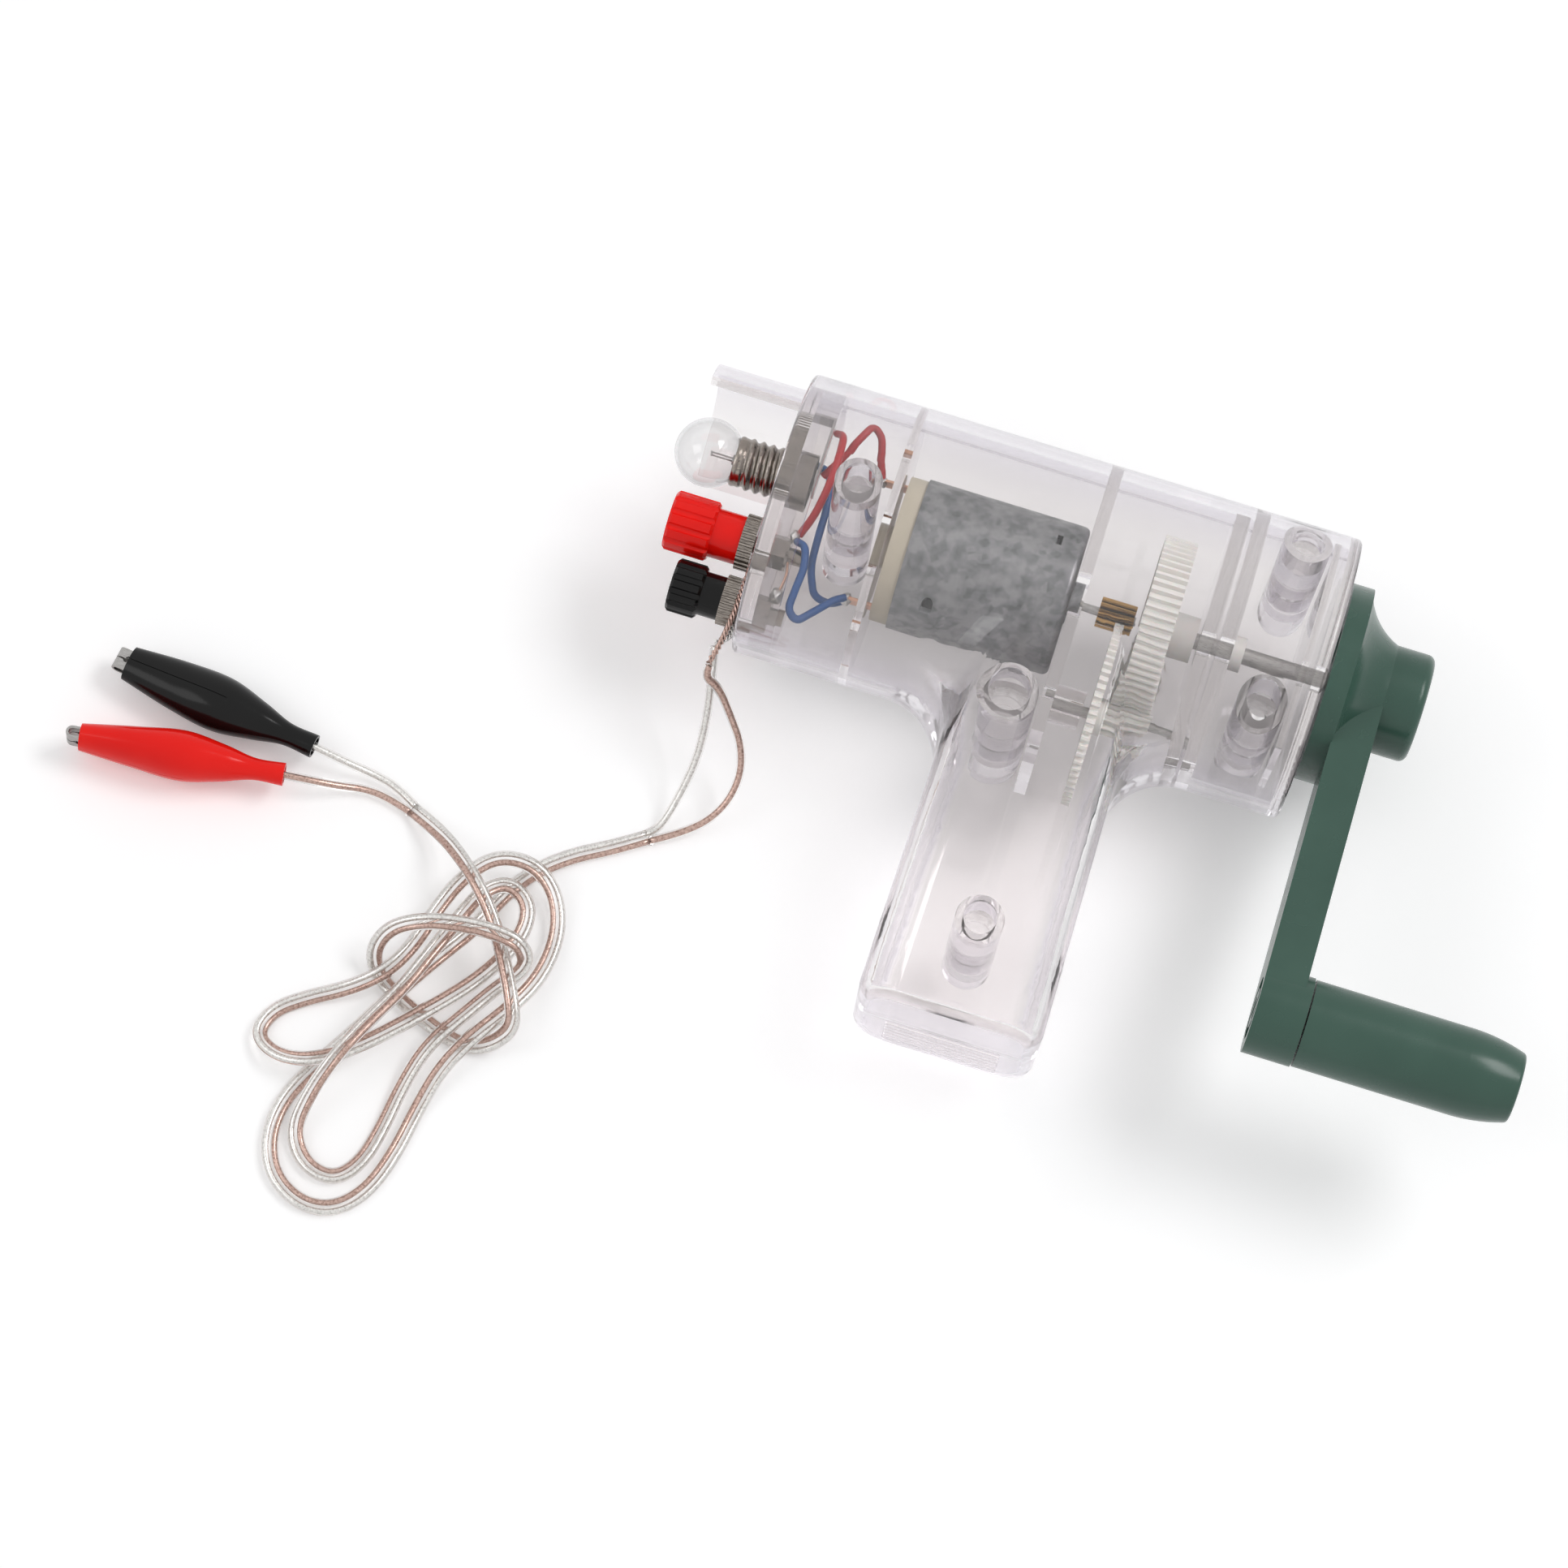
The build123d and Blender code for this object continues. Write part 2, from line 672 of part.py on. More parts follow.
half_space = pi / big_teeth
idler_wheel = gear(big_teeth, tip_stub, half_space, idler_gear_x, 0, idler_shaft_radius)
with BuildPart() as idler_gear:
    add(idler_wheel.moved(Location((0, idler_y, 0))))
    with BuildSketch(Plane.YZ.offset(idler_gear_x[1])):
        with Locations((idler_y, 0)):
            Circle(3.4)
            Circle(idler_shaft_radius, mode=Mode.SUBTRACT)
    extrude(amount=idler_pinion_x[0] - idler_gear_x[1])
keep("idler_gear", idler_gear.part)
small_wheel = gear(small_teeth, pinion_tip, 0.0, idler_pinion_x, 0, idler_shaft_radius)
keep("idler_pinion", small_wheel.moved(Location((0, idler_y, 0))))
keep("idler_shaft", ring("idler_shaft", idler_shaft_radius, 0, *idler_shaft_x, idler_y))
keep("motor_pinion", gear(small_teeth, pinion_tip, pi, motor_pinion_x, 0, motor_shaft_radius))

with BuildPart() as crank_gear:
    add(gear(big_teeth, tip_stub, pi + half_space, crank_gear_x, 0, crank_shaft_radius))
    for face, direction in ((crank_gear_x[0], 1), (crank_gear_x[1], -1)):
        with BuildSketch(Plane.YZ.offset(face)):
            Circle(14.2)
            Circle(crank_gear_hub_radius, mode=Mode.SUBTRACT)
        extrude(amount=direction * 1.8, mode=Mode.SUBTRACT)
    with BuildSketch(Plane.YZ.offset(crank_gear_x[1])):
        Circle(crank_gear_hub_radius)
        Circle(crank_shaft_radius, mode=Mode.SUBTRACT)
    extrude(amount=crank_gear_hub_end - crank_gear_x[1])
keep("crank_gear", crank_gear.part)

with BuildPart() as crank_shaft:
    add(ring("shaft", crank_shaft_radius, 0, crank_gear_x[0], crank_shaft_end))
    with BuildSketch(Plane.YZ.offset(crank_shaft_end - 6.0)):
        Circle(0.9)
    extrude(amount=6.0, mode=Mode.SUBTRACT)
keep("crank_shaft", crank_shaft.part)

keep("shaft_collar", ring("shaft_collar", 3.2, crank_shaft_radius, bearing_plate[1] + 0.3, bearing_plate[1] + 2.6))

# ================= crank =================
crank_turn = Location((0, 0, 0), (crank_rest_angle, 0, 0))

with BuildPart() as arm:
    with BuildSketch(Plane.XY):
        with BuildLine():
            flare_start = disc_end + boss_flare
            Polyline((crank_start, 0), (crank_start, disc_radius), (disc_end, disc_radius))
            flare = ThreePointArc(
                (disc_end, disc_radius - 1.2),
                (disc_end + 2.6, boss_radius + 2.9),
                (flare_start, boss_radius),
            )
            Line((disc_end, disc_radius), flare @ 0)
            Polyline(flare @ 1, (boss_end, boss_radius), (boss_end, 0), (crank_start, 0))
        make_face()
    revolve(axis=Axis.X)
    fillet(arm.edges().group_by(Axis.X)[-1], 1.5)
    with BuildSketch(Plane.YZ.offset(arm_start)):
        with Locations((-crank_throw / 2, 0)):
            Rectangle(crank_throw, arm_width)
    extrude(amount=arm_end - arm_start)
    with BuildSketch(Plane.YZ.offset(arm_start)):
        with Locations((-crank_throw, 0)):
            Circle(lug_radius)
    extrude(amount=lug_end - arm_start)
    with BuildSketch(Plane.YZ.offset(arm_start)):
        with Locations((-crank_throw, 0)):
            Circle(lug_radius - 2.4)
            Circle(axle_radius + 1.6, mode=Mode.SUBTRACT)
    extrude(amount=2.0, mode=Mode.SUBTRACT)
    add(bore(axle_radius, (arm_start, lug_end), -crank_throw), mode=Mode.SUBTRACT)
    add(bore(crank_shaft_radius, (crank_start, crank_shaft_end - 0.5)), mode=Mode.SUBTRACT)
    add(bore(1.2, (crank_shaft_end, boss_end)), mode=Mode.SUBTRACT)
    with BuildSketch(Plane.YZ.offset(boss_end)):
        Circle(screw_head_radius + 0.6)
    extrude(amount=screw_seat - boss_end, mode=Mode.SUBTRACT)
    for side in (1, -1):
        with BuildSketch(Plane.YZ.offset(crank_start)):
            with Locations((0, side * 12.0)):
                Circle(3.2)
        extrude(amount=1.6, mode=Mode.SUBTRACT)
keep("crank_arm", arm.part.moved(crank_turn))

with BuildPart() as screw:
    with BuildSketch(Plane.YZ.offset(screw_seat)):
        Circle(screw_head_radius)
    extrude(amount=1.9)
    fillet(screw.edges().group_by(Axis.X)[-1], 0.7)
    with BuildSketch(Plane.YZ.offset(crank_shaft_end - 5.0)):
        Circle(0.85)
    extrude(amount=screw_seat - crank_shaft_end + 5.0)
    with BuildSketch(Plane.YZ.offset(screw_seat + 1.9)):
        Rectangle(3.6, 0.8)
        Rectangle(0.8, 3.6)
    extrude(amount=-1.0, mode=Mode.SUBTRACT)
keep("crank_screw", screw.part.moved(crank_turn))

with BuildPart() as knob:
    with BuildSketch(Plane.XY.shift_origin((0, -crank_throw, 0))):
        with BuildLine():
            Polyline((knob_start, 0), (knob_start, knob_radius), (knob_taper_start, knob_radius))
            nose = ThreePointArc(
                (knob_taper_start, knob_radius),
                ((knob_taper_start + knob_end) / 2, knob_radius - 0.45),
                (knob_end, knob_end_radius),
            )
            Polyline(nose @ 1, (knob_end, 0), (knob_start, 0))
        make_face()
    revolve(axis=Axis((0, -crank_throw, 0), (1, 0, 0)))
    fillet(knob.edges().group_by(Axis.X)[-1], 0.8)
    add(bore(axle_radius + run_gap, (knob_start, axle_head_seat), -crank_throw), mode=Mode.SUBTRACT)
    with BuildSketch(Plane.YZ.offset(knob_end)):
        with Locations((-crank_throw, 0)):
            Circle(axle_head_radius + 0.5)
    extrude(amount=axle_head_seat - knob_end, mode=Mode.SUBTRACT)
keep("crank_knob", knob.part.moved(crank_turn))

with BuildPart() as axle:
    with BuildSketch(Plane.YZ.offset(arm_start + 0.4)):
        with Locations((-crank_throw, 0)):
            Circle(axle_radius)
    extrude(amount=axle_head_seat + 0.3 - arm_start - 0.4)
    with BuildSketch(Plane.YZ.offset(axle_head_seat + 0.3)):
        with Locations((-crank_throw, 0)):
            Circle(axle_head_radius)
    extrude(amount=2.0)
    fillet(axle.edges().group_by(Axis.X)[-1], 0.7)
    with BuildSketch(Plane.YZ.offset(axle_head_seat + 2.3)):
        with Locations((-crank_throw, 0)):
            Rectangle(0.9, 5.0)
    extrude(amount=-1.0, mode=Mode.SUBTRACT)
keep("knob_axle", axle.part.moved(crank_turn))

# ================= wires inside =================
tag_x = hex_end + 0.5 + wire_diameter / 2
contact_x = tip_end + fit_gap + contact_thickness + wire_diameter / 2
terminal_x = bell_start - terminal_length - 0.55
sleeve_reach = socket_radius + socket_wall + wire_diameter / 2 + fit_gap
wire_routes = {
    "wire_red": [
        (tag_x, red_y + 4.0, 0.8), (7.4, 0.2, 4.0), (8.4, 5.0, 7.0), (8.6, 11.0, 7.6), (8.2, 16.0, 5.4),
        (contact_x, 17.6, 1.2),
    ],
    "wire_red_loop": [
        (terminal_x, terminal_y, 0.0), (15.8, 14.6, 1.4), (14.6, 19.0, 2.6), (12.6, 20.4, 3.6),
        (11.0, 16.6, 4.6), (8.8, 12.0, 3.4), (contact_x, 9.0, 1.0),
    ],
    "wire_blue_inner": [
        (tag_x, red_y + 2.4, 1.6), (7.6, -5.6, 3.8), (8.6, -9.4, 4.0), (8.2, -13.4, 3.4),
        (8.0, -17.4, 3.0), (10.0, -18.8, 2.2), (12.8, -15.6, 1.4), (15.2, -12.8, 1.2), (terminal_x, -terminal_y, 0.8),
    ],
    "wire_blue_outer": [
        (4.2, lamp_y + sqrt(sleeve_reach ** 2 - 3.4 ** 2), -3.4), (7.4, 11.6, -3.6), (8.7, 6.0, -4.0),
        (8.8, -0.6, -4.0), (9.2, -7.0, -3.2), (11.4, -12.2, -2.2), (14.6, -13.0, -1.4),
        (terminal_x, -terminal_y, -0.8),
    ],
}
for wire_name, wire_route in wire_routes.items():
    keep(wire_name, tube(wire_route, wire_diameter)[0])
link_x = hex_end + 0.5 + 0.25
keep("link_wire", tube([(link_x, red_y - 1.9, 1.8), (link_x + 0.6, -11.4, 2.4), (link_x, -14.6, 0.9)], 0.5)[0])

# bare ends of the lead, clamped behind the knurled nuts
pigtail_x = knurl_end + 0.1 + pigtail_diameter / 2
pigtail_red_end = (-2.5, -30.8, 0.6)
pigtail_black_end = (-2.6, -26.0, -1.5)
keep("pigtail_red", tube([
    (pigtail_x, red_y - 2.4, 3.4), (pigtail_x, -16.0, 5.2), (pigtail_x - 0.1, -23.4, 4.6), pigtail_red_end,
], pigtail_diameter)[0])
keep("pigtail_black", tube([
    (pigtail_x, -14.6, -3.4), (pigtail_x, -21.0, -3.8), (pigtail_x - 0.2, -24.2, -3.0), pigtail_black_end,
], pigtail_diameter)[0])

# ================= rest on the table =================
grip_taper = (grip_top_thickness - grip_bottom_thickness) / 2 / (grip_top_y - grip_bottom_y)
corner_y = -grip_bottom_y - grip_foot_round
corner_z = grip_bottom_thickness / 2 + grip_foot_round * (grip_taper - sqrt(1 + grip_taper ** 2))
rest_slope = asin((tube_radius - grip_foot_round) / hypot(corner_y, corner_z)) - atan2(corner_z, corner_y)
laid = Location((0, 0, tube_radius), (degrees(rest_slope), 0, 0))


def to_table(x, y, z):
    """A device point in the table's frame, before the shift to the origin."""
    return (
        x, y * cos(rest_slope) - z * sin(rest_slope), y * sin(rest_slope) + z * cos(rest_slope) + tube_radius
    )


# ================= lead on the table =================
# The lead's two wires leave the posts, join to a flat pair, lie in a knotted hank and part again.
lead_start_gap = 0.8
lead_red_route = [
    to_table(pigtail_red_end[0] + 0.2, pigtail_red_end[1] - 0.3, pigtail_red_end[2] - 0.3),
    (0.2, -32.5, 18.5), (3.6, -35.3, 14.0), (6.8, -38.6, 10.5),
    (8.3, -43.4, 7.2), (6.9, -49.0, 4.0), (2.2, -54.2, 1.9), (-3.6, -57.9, 1.5),
]
lead_black_route = [
    to_table(pigtail_black_end[0], pigtail_black_end[1] - lead_start_gap, pigtail_black_end[2]),
    (-1.6, -30.9, 18.0), (-0.4, -37.1, 13.0), (-0.1, -43.3, 8.2),
    (-1.6, -50.4, 3.4), (-4.7, -56.0, 1.5),
]
pair_route = [
    (-4.5, -57.2, 1.5), (-9.5, -60.9, 1.6), (-16.0, -64.7, 1.6), (-21.5, -69.5, 1.6), (-25.6, -75.8, 1.6),
    (-28.1, -83.5, 3.2), (-32.2, -91.3, 5.4), (-35.7, -97.3, 5.4), (-39.0, -103.2, 4.8), (-43.0, -109.8, 2.0),
    (-47.6, -117.6, 1.6), (-50.7, -124.8, 1.6), (-50.9, -132.2, 1.6), (-47.8, -138.5, 1.6),
    (-41.7, -141.9, 1.6), (-35.6, -141.0, 1.6), (-31.2, -135.7, 1.6), (-28.9, -127.6, 1.6),
    (-27.8, -118.9, 1.6), (-26.1, -111.2, 3.5), (-22.6, -104.6, 5.4), (-17.9, -97.5, 5.4),
    (-14.5, -89.3, 3.5), (-14.1, -80.2, 2.0), (-16.5, -73.7, 3.2), (-21.5, -70.1, 5.6), (-28.4, -70.4, 5.4),
    (-33.0, -75.7, 5.2), (-35.7, -83.3, 5.4), (-37.4, -91.3, 5.6), (-40.5, -97.9, 5.8),
    (-46.2, -101.8, 2.6), (-52.9, -105.5, 1.6), (-57.8, -109.5, 1.6), (-59.0, -114.8, 1.8),
    (-53.9, -118.0, 3.8), (-47.0, -117.2, 5.7), (-40.3, -112.0, 5.4),
    (-27.2, -97.4, 5.4), (-22.5, -90.2, 5.4), (-19.8, -83.2, 5.4), (-20.4, -77.5, 5.4), (-25.0, -74.6, 5.5),
    (-29.2, -78.1, 6.0), (-31.4, -85.4, 8.0), (-33.9, -93.0, 9.0), (-36.6, -101.1, 9.0),
    (-40.7, -109.3, 9.0), (-43.7, -116.7, 9.4), (-46.3, -123.1, 5.0), (-47.3, -129.5, 1.6),
    (-43.3, -134.9, 1.6), (-37.5, -135.9, 1.6), (-33.9, -131.3, 1.6), (-32.5, -124.1, 1.6),
    (-31.6, -115.7, 2.4), (-29.5, -107.9, 4.6), (-25.2, -101.1, 5.4), (-21.2, -94.3, 5.4),
    (-17.1, -89.4, 6.4), (-18.8, -87.5, 11.8), (-24.5, -87.0, 12.6), (-30.6, -87.5, 12.6),
    (-36.6, -88.8, 12.2), (-41.9, -90.8, 9.6), (-44.1, -93.9, 5.4), (-42.8, -96.8, 1.6),
    (-38.0, -100.0, 1.6), (-32.7, -102.5, 1.6), (-27.3, -104.5, 1.6), (-22.9, -105.3, 1.6),
    (-18.8, -103.8, 3.0), (-15.9, -101.3, 7.4), (-17.7, -96.9, 9.6), (-20.9, -91.0, 9.4),
    (-24.3, -85.0, 8.8), (-28.8, -79.7, 10.6), (-33.6, -74.8, 9.2), (-40.0, -68.6, 3.6), (-46.1, -65.5, 1.6),
]
clip_red_tail = (-69.5, -67.9, 5.42)
clip_red_heading = 187.2
clip_black_tail = (-66.2, -60.8, 4.7)
clip_black_heading = 172.5
barrel_start = 1.5


def ahead(tail, heading, distance):
    """The point a distance along a clip from its tail."""
    return (tail[0] + distance * cos(radians(heading)), tail[1] + distance * sin(radians(heading)), tail[2])


clip_lead_red_route = [
    (-46.9, -66.2, 1.5), (-50.6, -64.8, 1.3), (-55.4, -64.5, 1.6), (-60.0, -66.0, 3.0), (-64.6, -67.2, 4.8),
    ahead(clip_red_tail, clip_red_heading, barrel_start - 0.1),
]
clip_lead_black_route = [
    (-45.9, -64.3, 1.5), (-49.8, -62.4, 1.3), (-54.8, -61.4, 1.8), (-60.0, -61.4, 3.4),
    ahead(clip_black_tail, clip_black_heading, barrel_start - 0.1),
]


def lay_tube(name, route, diameter):
    """Keep a cord's tube and print its length, volume and least radius."""
    solid, wire, radii = tube(route, diameter)
    expected = pi * diameter ** 2 / 4 * wire.length
    print(name, "length", round(wire.length, 1), "least radius", round(min(radii), 1),
          "volume", round(solid.volume, 1), "section by length", round(expected, 1))
    keep(name, solid, on_table=True)
    return wire


lay_tube("lead_red", lead_red_route, lead_diameter)
lay_tube("lead_black", lead_black_route, lead_diameter)
pair_wire = lay_tube("cord_pair", pair_route, cord_diameter)
lay_tube("clip_lead_red", clip_lead_red_route, lead_diameter)
lay_tube("clip_lead_black", clip_lead_black_route, lead_diameter)

step = 1.0
samples = [pair_wire.position_at(step * i / pair_wire.length) for i in range(int(pair_wire.length / step))]
self_gap = min(
    (samples[i] - samples[j]).length - cord_diameter
    for i in range(len(samples)) for j in range(i + 14, len(samples))
)
print("least gap of the hank to itself", round(self_gap, 2))


# ================= clips =================
def clip(name, place):
    """A sprung clip in its slit boot: tail at the origin, jaws along X, lever on the +Y side."""
    sections = ((0.0, 2.1, 2.0), (6.5, 2.3, 2.1), (17.5, 5.1, 4.6), (24.0, 5.3, 4.3), (boot_length, 3.3, 2.35))
    boots = []
    for inset, past in ((0.0, 0.0), (boot_wall, 0.2)):
        with BuildPart() as sleeve:
            for section_x, half_height, half_width in sections:
                end_shift = past if section_x == boot_length else (-past if section_x == 0.0 else 0.0)
                with BuildSketch(Plane.YZ.offset(section_x + end_shift)):
                    Ellipse(half_height - inset, half_width - inset)
            loft()
        boots.append(sleeve.part)
    slit = 0.15
    far = boot_length + 2.0
    top = 8.0
    lean = top * tan(radians(clip_open + 2.0))
    with BuildPart() as flap:
        add(boots[0])
        add(boots[1], mode=Mode.SUBTRACT)
        with BuildSketch(Plane.XY.offset(-top)):
            with BuildLine():
                Polyline((clip_pivot + 0.6, slit), (far, slit), (far, top), (clip_pivot + 0.6 + lean, top), close=True)
            make_face()
        extrude(amount=2 * top, mode=Mode.INTERSECT)
    with BuildPart() as boot:
        add(boots[0])
        add(boots[1], mode=Mode.SUBTRACT)
        with BuildSketch(Plane.XY.offset(-top)):
            with BuildLine():
                Polyline((clip_pivot, -slit), (far, -slit), (far, top), (clip_pivot, top), close=True)
            make_face()
        extrude(amount=2 * top, mode=Mode.SUBTRACT)

    jaw_depth = 2.0
    ear_drop = 1.1            # how far an ear reaches past the pin
    ear_length = 2.8
    sheet = 0.45
    nose_start = 27.0
    nose_radius = 1.15
    tooth_start = 29.5
    tooth_pitch = 1.1
    tooth_count = int((clip_length - 1.2 - tooth_start) / tooth_pitch)

    def jaw(side, profile, ear_in, ear_out, tooth_shift):
        with BuildPart() as metal:
            # nose: a rounded rim, open in the middle
            with BuildSketch(Plane.XZ.offset(-side * 0.15)):
                with Locations(((nose_start + clip_length) / 2, 0)):
                    SlotOverall(clip_length - nose_start, 2 * nose_radius)
                    SlotOverall(clip_length - nose_start - 2 * sheet, 2 * (nose_radius - sheet), mode=Mode.SUBTRACT)
            extrude(amount=-side * (jaw_depth - 0.15))
            # strip: floor of the jaw and handle
            with BuildSketch(Plane.XY.offset(-nose_radius)):
                with BuildLine():
                    Polyline(*profile, close=True)
                make_face()
            extrude(amount=2 * nose_radius)
            # ears for the pin
            for ear_side in (1, -1):
                with BuildSketch(Plane.XY.offset(ear_side * ear_in)):
                    with Locations((clip_pivot, side * (jaw_depth - ear_drop) / 2)):
                        Rectangle(ear_length, jaw_depth + ear_drop)
                extrude(amount=ear_side * (ear_out - ear_in))
            with BuildSketch(Plane.XY.offset(-ear_out)):
                with Locations((clip_pivot, side * (jaw_depth - sheet / 2))):
                    Rectangle(ear_length, sheet)
            extrude(amount=2 * ear_out)
            with BuildSketch(Plane.XY.offset(-4.0)):
                with Locations((clip_pivot, 0)):
                    Circle(clip_pin_radius + 0.05)
            extrude(amount=8.0, mode=Mode.SUBTRACT)
            # teeth cut into the rims
            with BuildSketch(Plane.XY.offset(-4.0)):
                for tooth in range(tooth_count):
                    with Locations((tooth_start + tooth_shift + tooth * tooth_pitch, side * 0.15)):
                        Rectangle(0.62, 1.1, rotation=45)
            extrude(amount=8.0, mode=Mode.SUBTRACT)
        return metal

    floor_line = jaw_depth - sheet
    fixed_profile = [
        (6.6, -1.1), (8.0, -1.1), (14.5, -jaw_depth - 0.4), (19.0, -jaw_depth - 0.4), (22.0, -jaw_depth),
        (33.0, -jaw_depth), (33.0, -floor_line), (22.0, -floor_line), (19.0, -floor_line - 0.4),
        (14.5, -floor_line - 0.4), (8.4, -0.6), (6.6, -0.6),
    ]
    lever_profile = [
        (12.0, 2.6), (15.0, 3.4), (19.0, 3.0), (22.0, jaw_depth), (33.0, jaw_depth), (33.0, floor_line),
        (22.0, floor_line), (19.0, 2.55), (15.0, 2.95), (12.0, 2.15),
    ]
    fixed = jaw(-1, fixed_profile, 1.5, 1.9, 0.0)
    lever = jaw(1, lever_profile, 1.0, 1.4, tooth_pitch / 2)
    with BuildPart() as fixed_jaw:
        add(fixed.part)
        with BuildSketch(Plane.YZ.offset(barrel_start)):
            Circle(1.1)
        extrude(amount=6.8 - barrel_start)
    with BuildPart() as pin:
        with BuildSketch(Plane.XY.offset(-2.4)):
            with Locations((clip_pivot, 0)):
                Circle(clip_pin_radius)
        extrude(amount=4.8)
    with BuildPart() as spring:
        with BuildSketch(Plane.XY.offset(-0.9)):
            with Locations((clip_pivot, 0)):
                Circle(1.5)
                Circle(clip_pin_radius + 0.1, mode=Mode.SUBTRACT)
        extrude(amount=1.8)
    for piece_name, piece in (
        ("boot", boot), ("flap", flap), ("jaw", fixed_jaw), ("lever", lever), ("pin", pin), ("spring", spring),
    ):
        keep(f"{name}_{piece_name}", piece.part.moved(place), on_table=True)


on_its_back = Location((0, 0, 0), (90, 0, 0))
clip("clip_red", Location(clip_red_tail) * Location((0, 0, 0), (0, 0, clip_red_heading)) * on_its_back)
clip("clip_black", Location(clip_black_tail) * Location((0, 0, 0), (0, 0, clip_black_heading)))

# ================= origin and export =================
box = Compound(children=[node.moved(laid) for node in device_nodes]).bounding_box()
shift = Location((-(box.min.X + box.max.X) / 2, -(box.min.Y + box.max.Y) / 2, 0))
print("overall", box.size, "lowest", round(box.min.Z, 3), "shift", shift.position, "rest", degrees(rest_slope))
for nodes, place in ((device_nodes, shift * laid), (table_nodes, shift)):
    for node in nodes:
        placed = node.moved(place)
        placed.label = node.label
        export_step(placed, f"parts/{node.label}.step")
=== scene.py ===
import json
import math

import bmesh
import bpy
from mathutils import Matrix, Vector


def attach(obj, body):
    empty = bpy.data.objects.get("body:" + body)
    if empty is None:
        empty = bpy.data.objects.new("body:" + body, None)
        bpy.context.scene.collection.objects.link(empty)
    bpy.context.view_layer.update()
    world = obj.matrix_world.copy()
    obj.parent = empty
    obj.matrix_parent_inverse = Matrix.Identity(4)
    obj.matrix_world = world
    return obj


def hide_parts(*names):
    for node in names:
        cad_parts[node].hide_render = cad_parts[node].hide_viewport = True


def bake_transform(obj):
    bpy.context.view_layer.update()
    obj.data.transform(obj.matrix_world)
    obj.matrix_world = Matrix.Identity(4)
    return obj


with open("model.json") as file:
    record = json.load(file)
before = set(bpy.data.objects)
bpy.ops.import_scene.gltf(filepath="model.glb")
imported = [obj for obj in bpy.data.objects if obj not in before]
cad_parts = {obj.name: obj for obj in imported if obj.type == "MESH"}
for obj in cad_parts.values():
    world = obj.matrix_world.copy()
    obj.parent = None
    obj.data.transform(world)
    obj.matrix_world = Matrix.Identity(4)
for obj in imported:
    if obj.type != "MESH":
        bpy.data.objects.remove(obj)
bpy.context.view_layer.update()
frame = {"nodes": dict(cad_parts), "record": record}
NODES = frame["nodes"]

# ---------------- camera: the photograph's angle ----------------
camera = bpy.data.objects.new("camera", bpy.data.cameras.new("camera"))
bpy.context.scene.collection.objects.link(camera)
camera.location = (-0.005887, -0.399000, 0.955444)
camera.rotation_euler = [math.radians(a) for a in (21.9265, -4.1566, 16.7960)]
camera.data.lens = 131.08
camera.data.sensor_width = 36.0
camera.data.clip_start = 0.05
camera.data.clip_end = 20.0
bpy.context.scene.camera = camera
bpy.context.scene.view_settings.view_transform = "Standard"


# ---------------- material kit: noise scales are per metre, bump heights in metres ----------------
GRAIN_STRENGTH = 0.25
GRAIN_HEIGHT = 0.00002
MOULD_GRAIN = 2600.0
DRIFT_SCALE = 55.0
GLOSS_SCALE = 240.0
PLASTIC_IOR = 1.5


def material(name):
    """A new material with its Principled shader and output."""
    mat = bpy.data.materials.new(name)
    mat.use_nodes = True
    tree = mat.node_tree
    return mat, tree, tree.nodes["Principled BSDF"], tree.nodes["Material Output"]


def add_node(tree, kind, **settings):
    node = tree.nodes.new(kind)
    for key, value in settings.items():
        setattr(node, key, value)
    return node


def noise(tree, scale, detail=2.0, stretch=None):
    """Noise in object space; stretch squeezes it along an axis."""
    coords = add_node(tree, "ShaderNodeTexCoord")
    tex = add_node(tree, "ShaderNodeTexNoise")
    tex.inputs["Scale"].default_value = scale
    tex.inputs["Detail"].default_value = detail
    if stretch:
        squeeze = add_node(tree, "ShaderNodeMapping")
        squeeze.inputs["Scale"].default_value = stretch
        tree.links.new(coords.outputs["Object"], squeeze.inputs["Vector"])
        tree.links.new(squeeze.outputs["Vector"], tex.inputs["Vector"])
    else:
        tree.links.new(coords.outputs["Object"], tex.inputs["Vector"])
    return tex.outputs["Fac"]


def ramp(tree, source, stops):
    """Colours at their positions along a value."""
    node = add_node(tree, "ShaderNodeValToRGB")
    tree.links.new(source, node.inputs["Fac"])
    elements = node.color_ramp.elements
    while len(elements) < len(stops):
        elements.new(0.5)
    for element, (at, colour) in zip(elements, stops):
        element.position = at
        element.color = (*colour, 1.0)
    return node.outputs["Color"]


def spread(tree, source, low, high):
    """A value from 0 to 1 moved to the range from low to high."""
    node = add_node(tree, "ShaderNodeMapRange")
    node.inputs["To Min"].default_value = low
    node.inputs["To Max"].default_value = high
    tree.links.new(source, node.inputs["Value"])
    return node.outputs["Result"]


def bump(tree, shader, source, strength, height):
    node = add_node(tree, "ShaderNodeBump")
    node.inputs["Strength"].default_value = strength
    node.inputs["Distance"].default_value = height
    tree.links.new(source, node.inputs["Height"])
    tree.links.new(node.outputs["Normal"], shader.inputs["Normal"])


def shade(dark, light):
    """The stops of a tone that drifts from dark to light."""
    return [(0.3, dark), (0.7, light)]


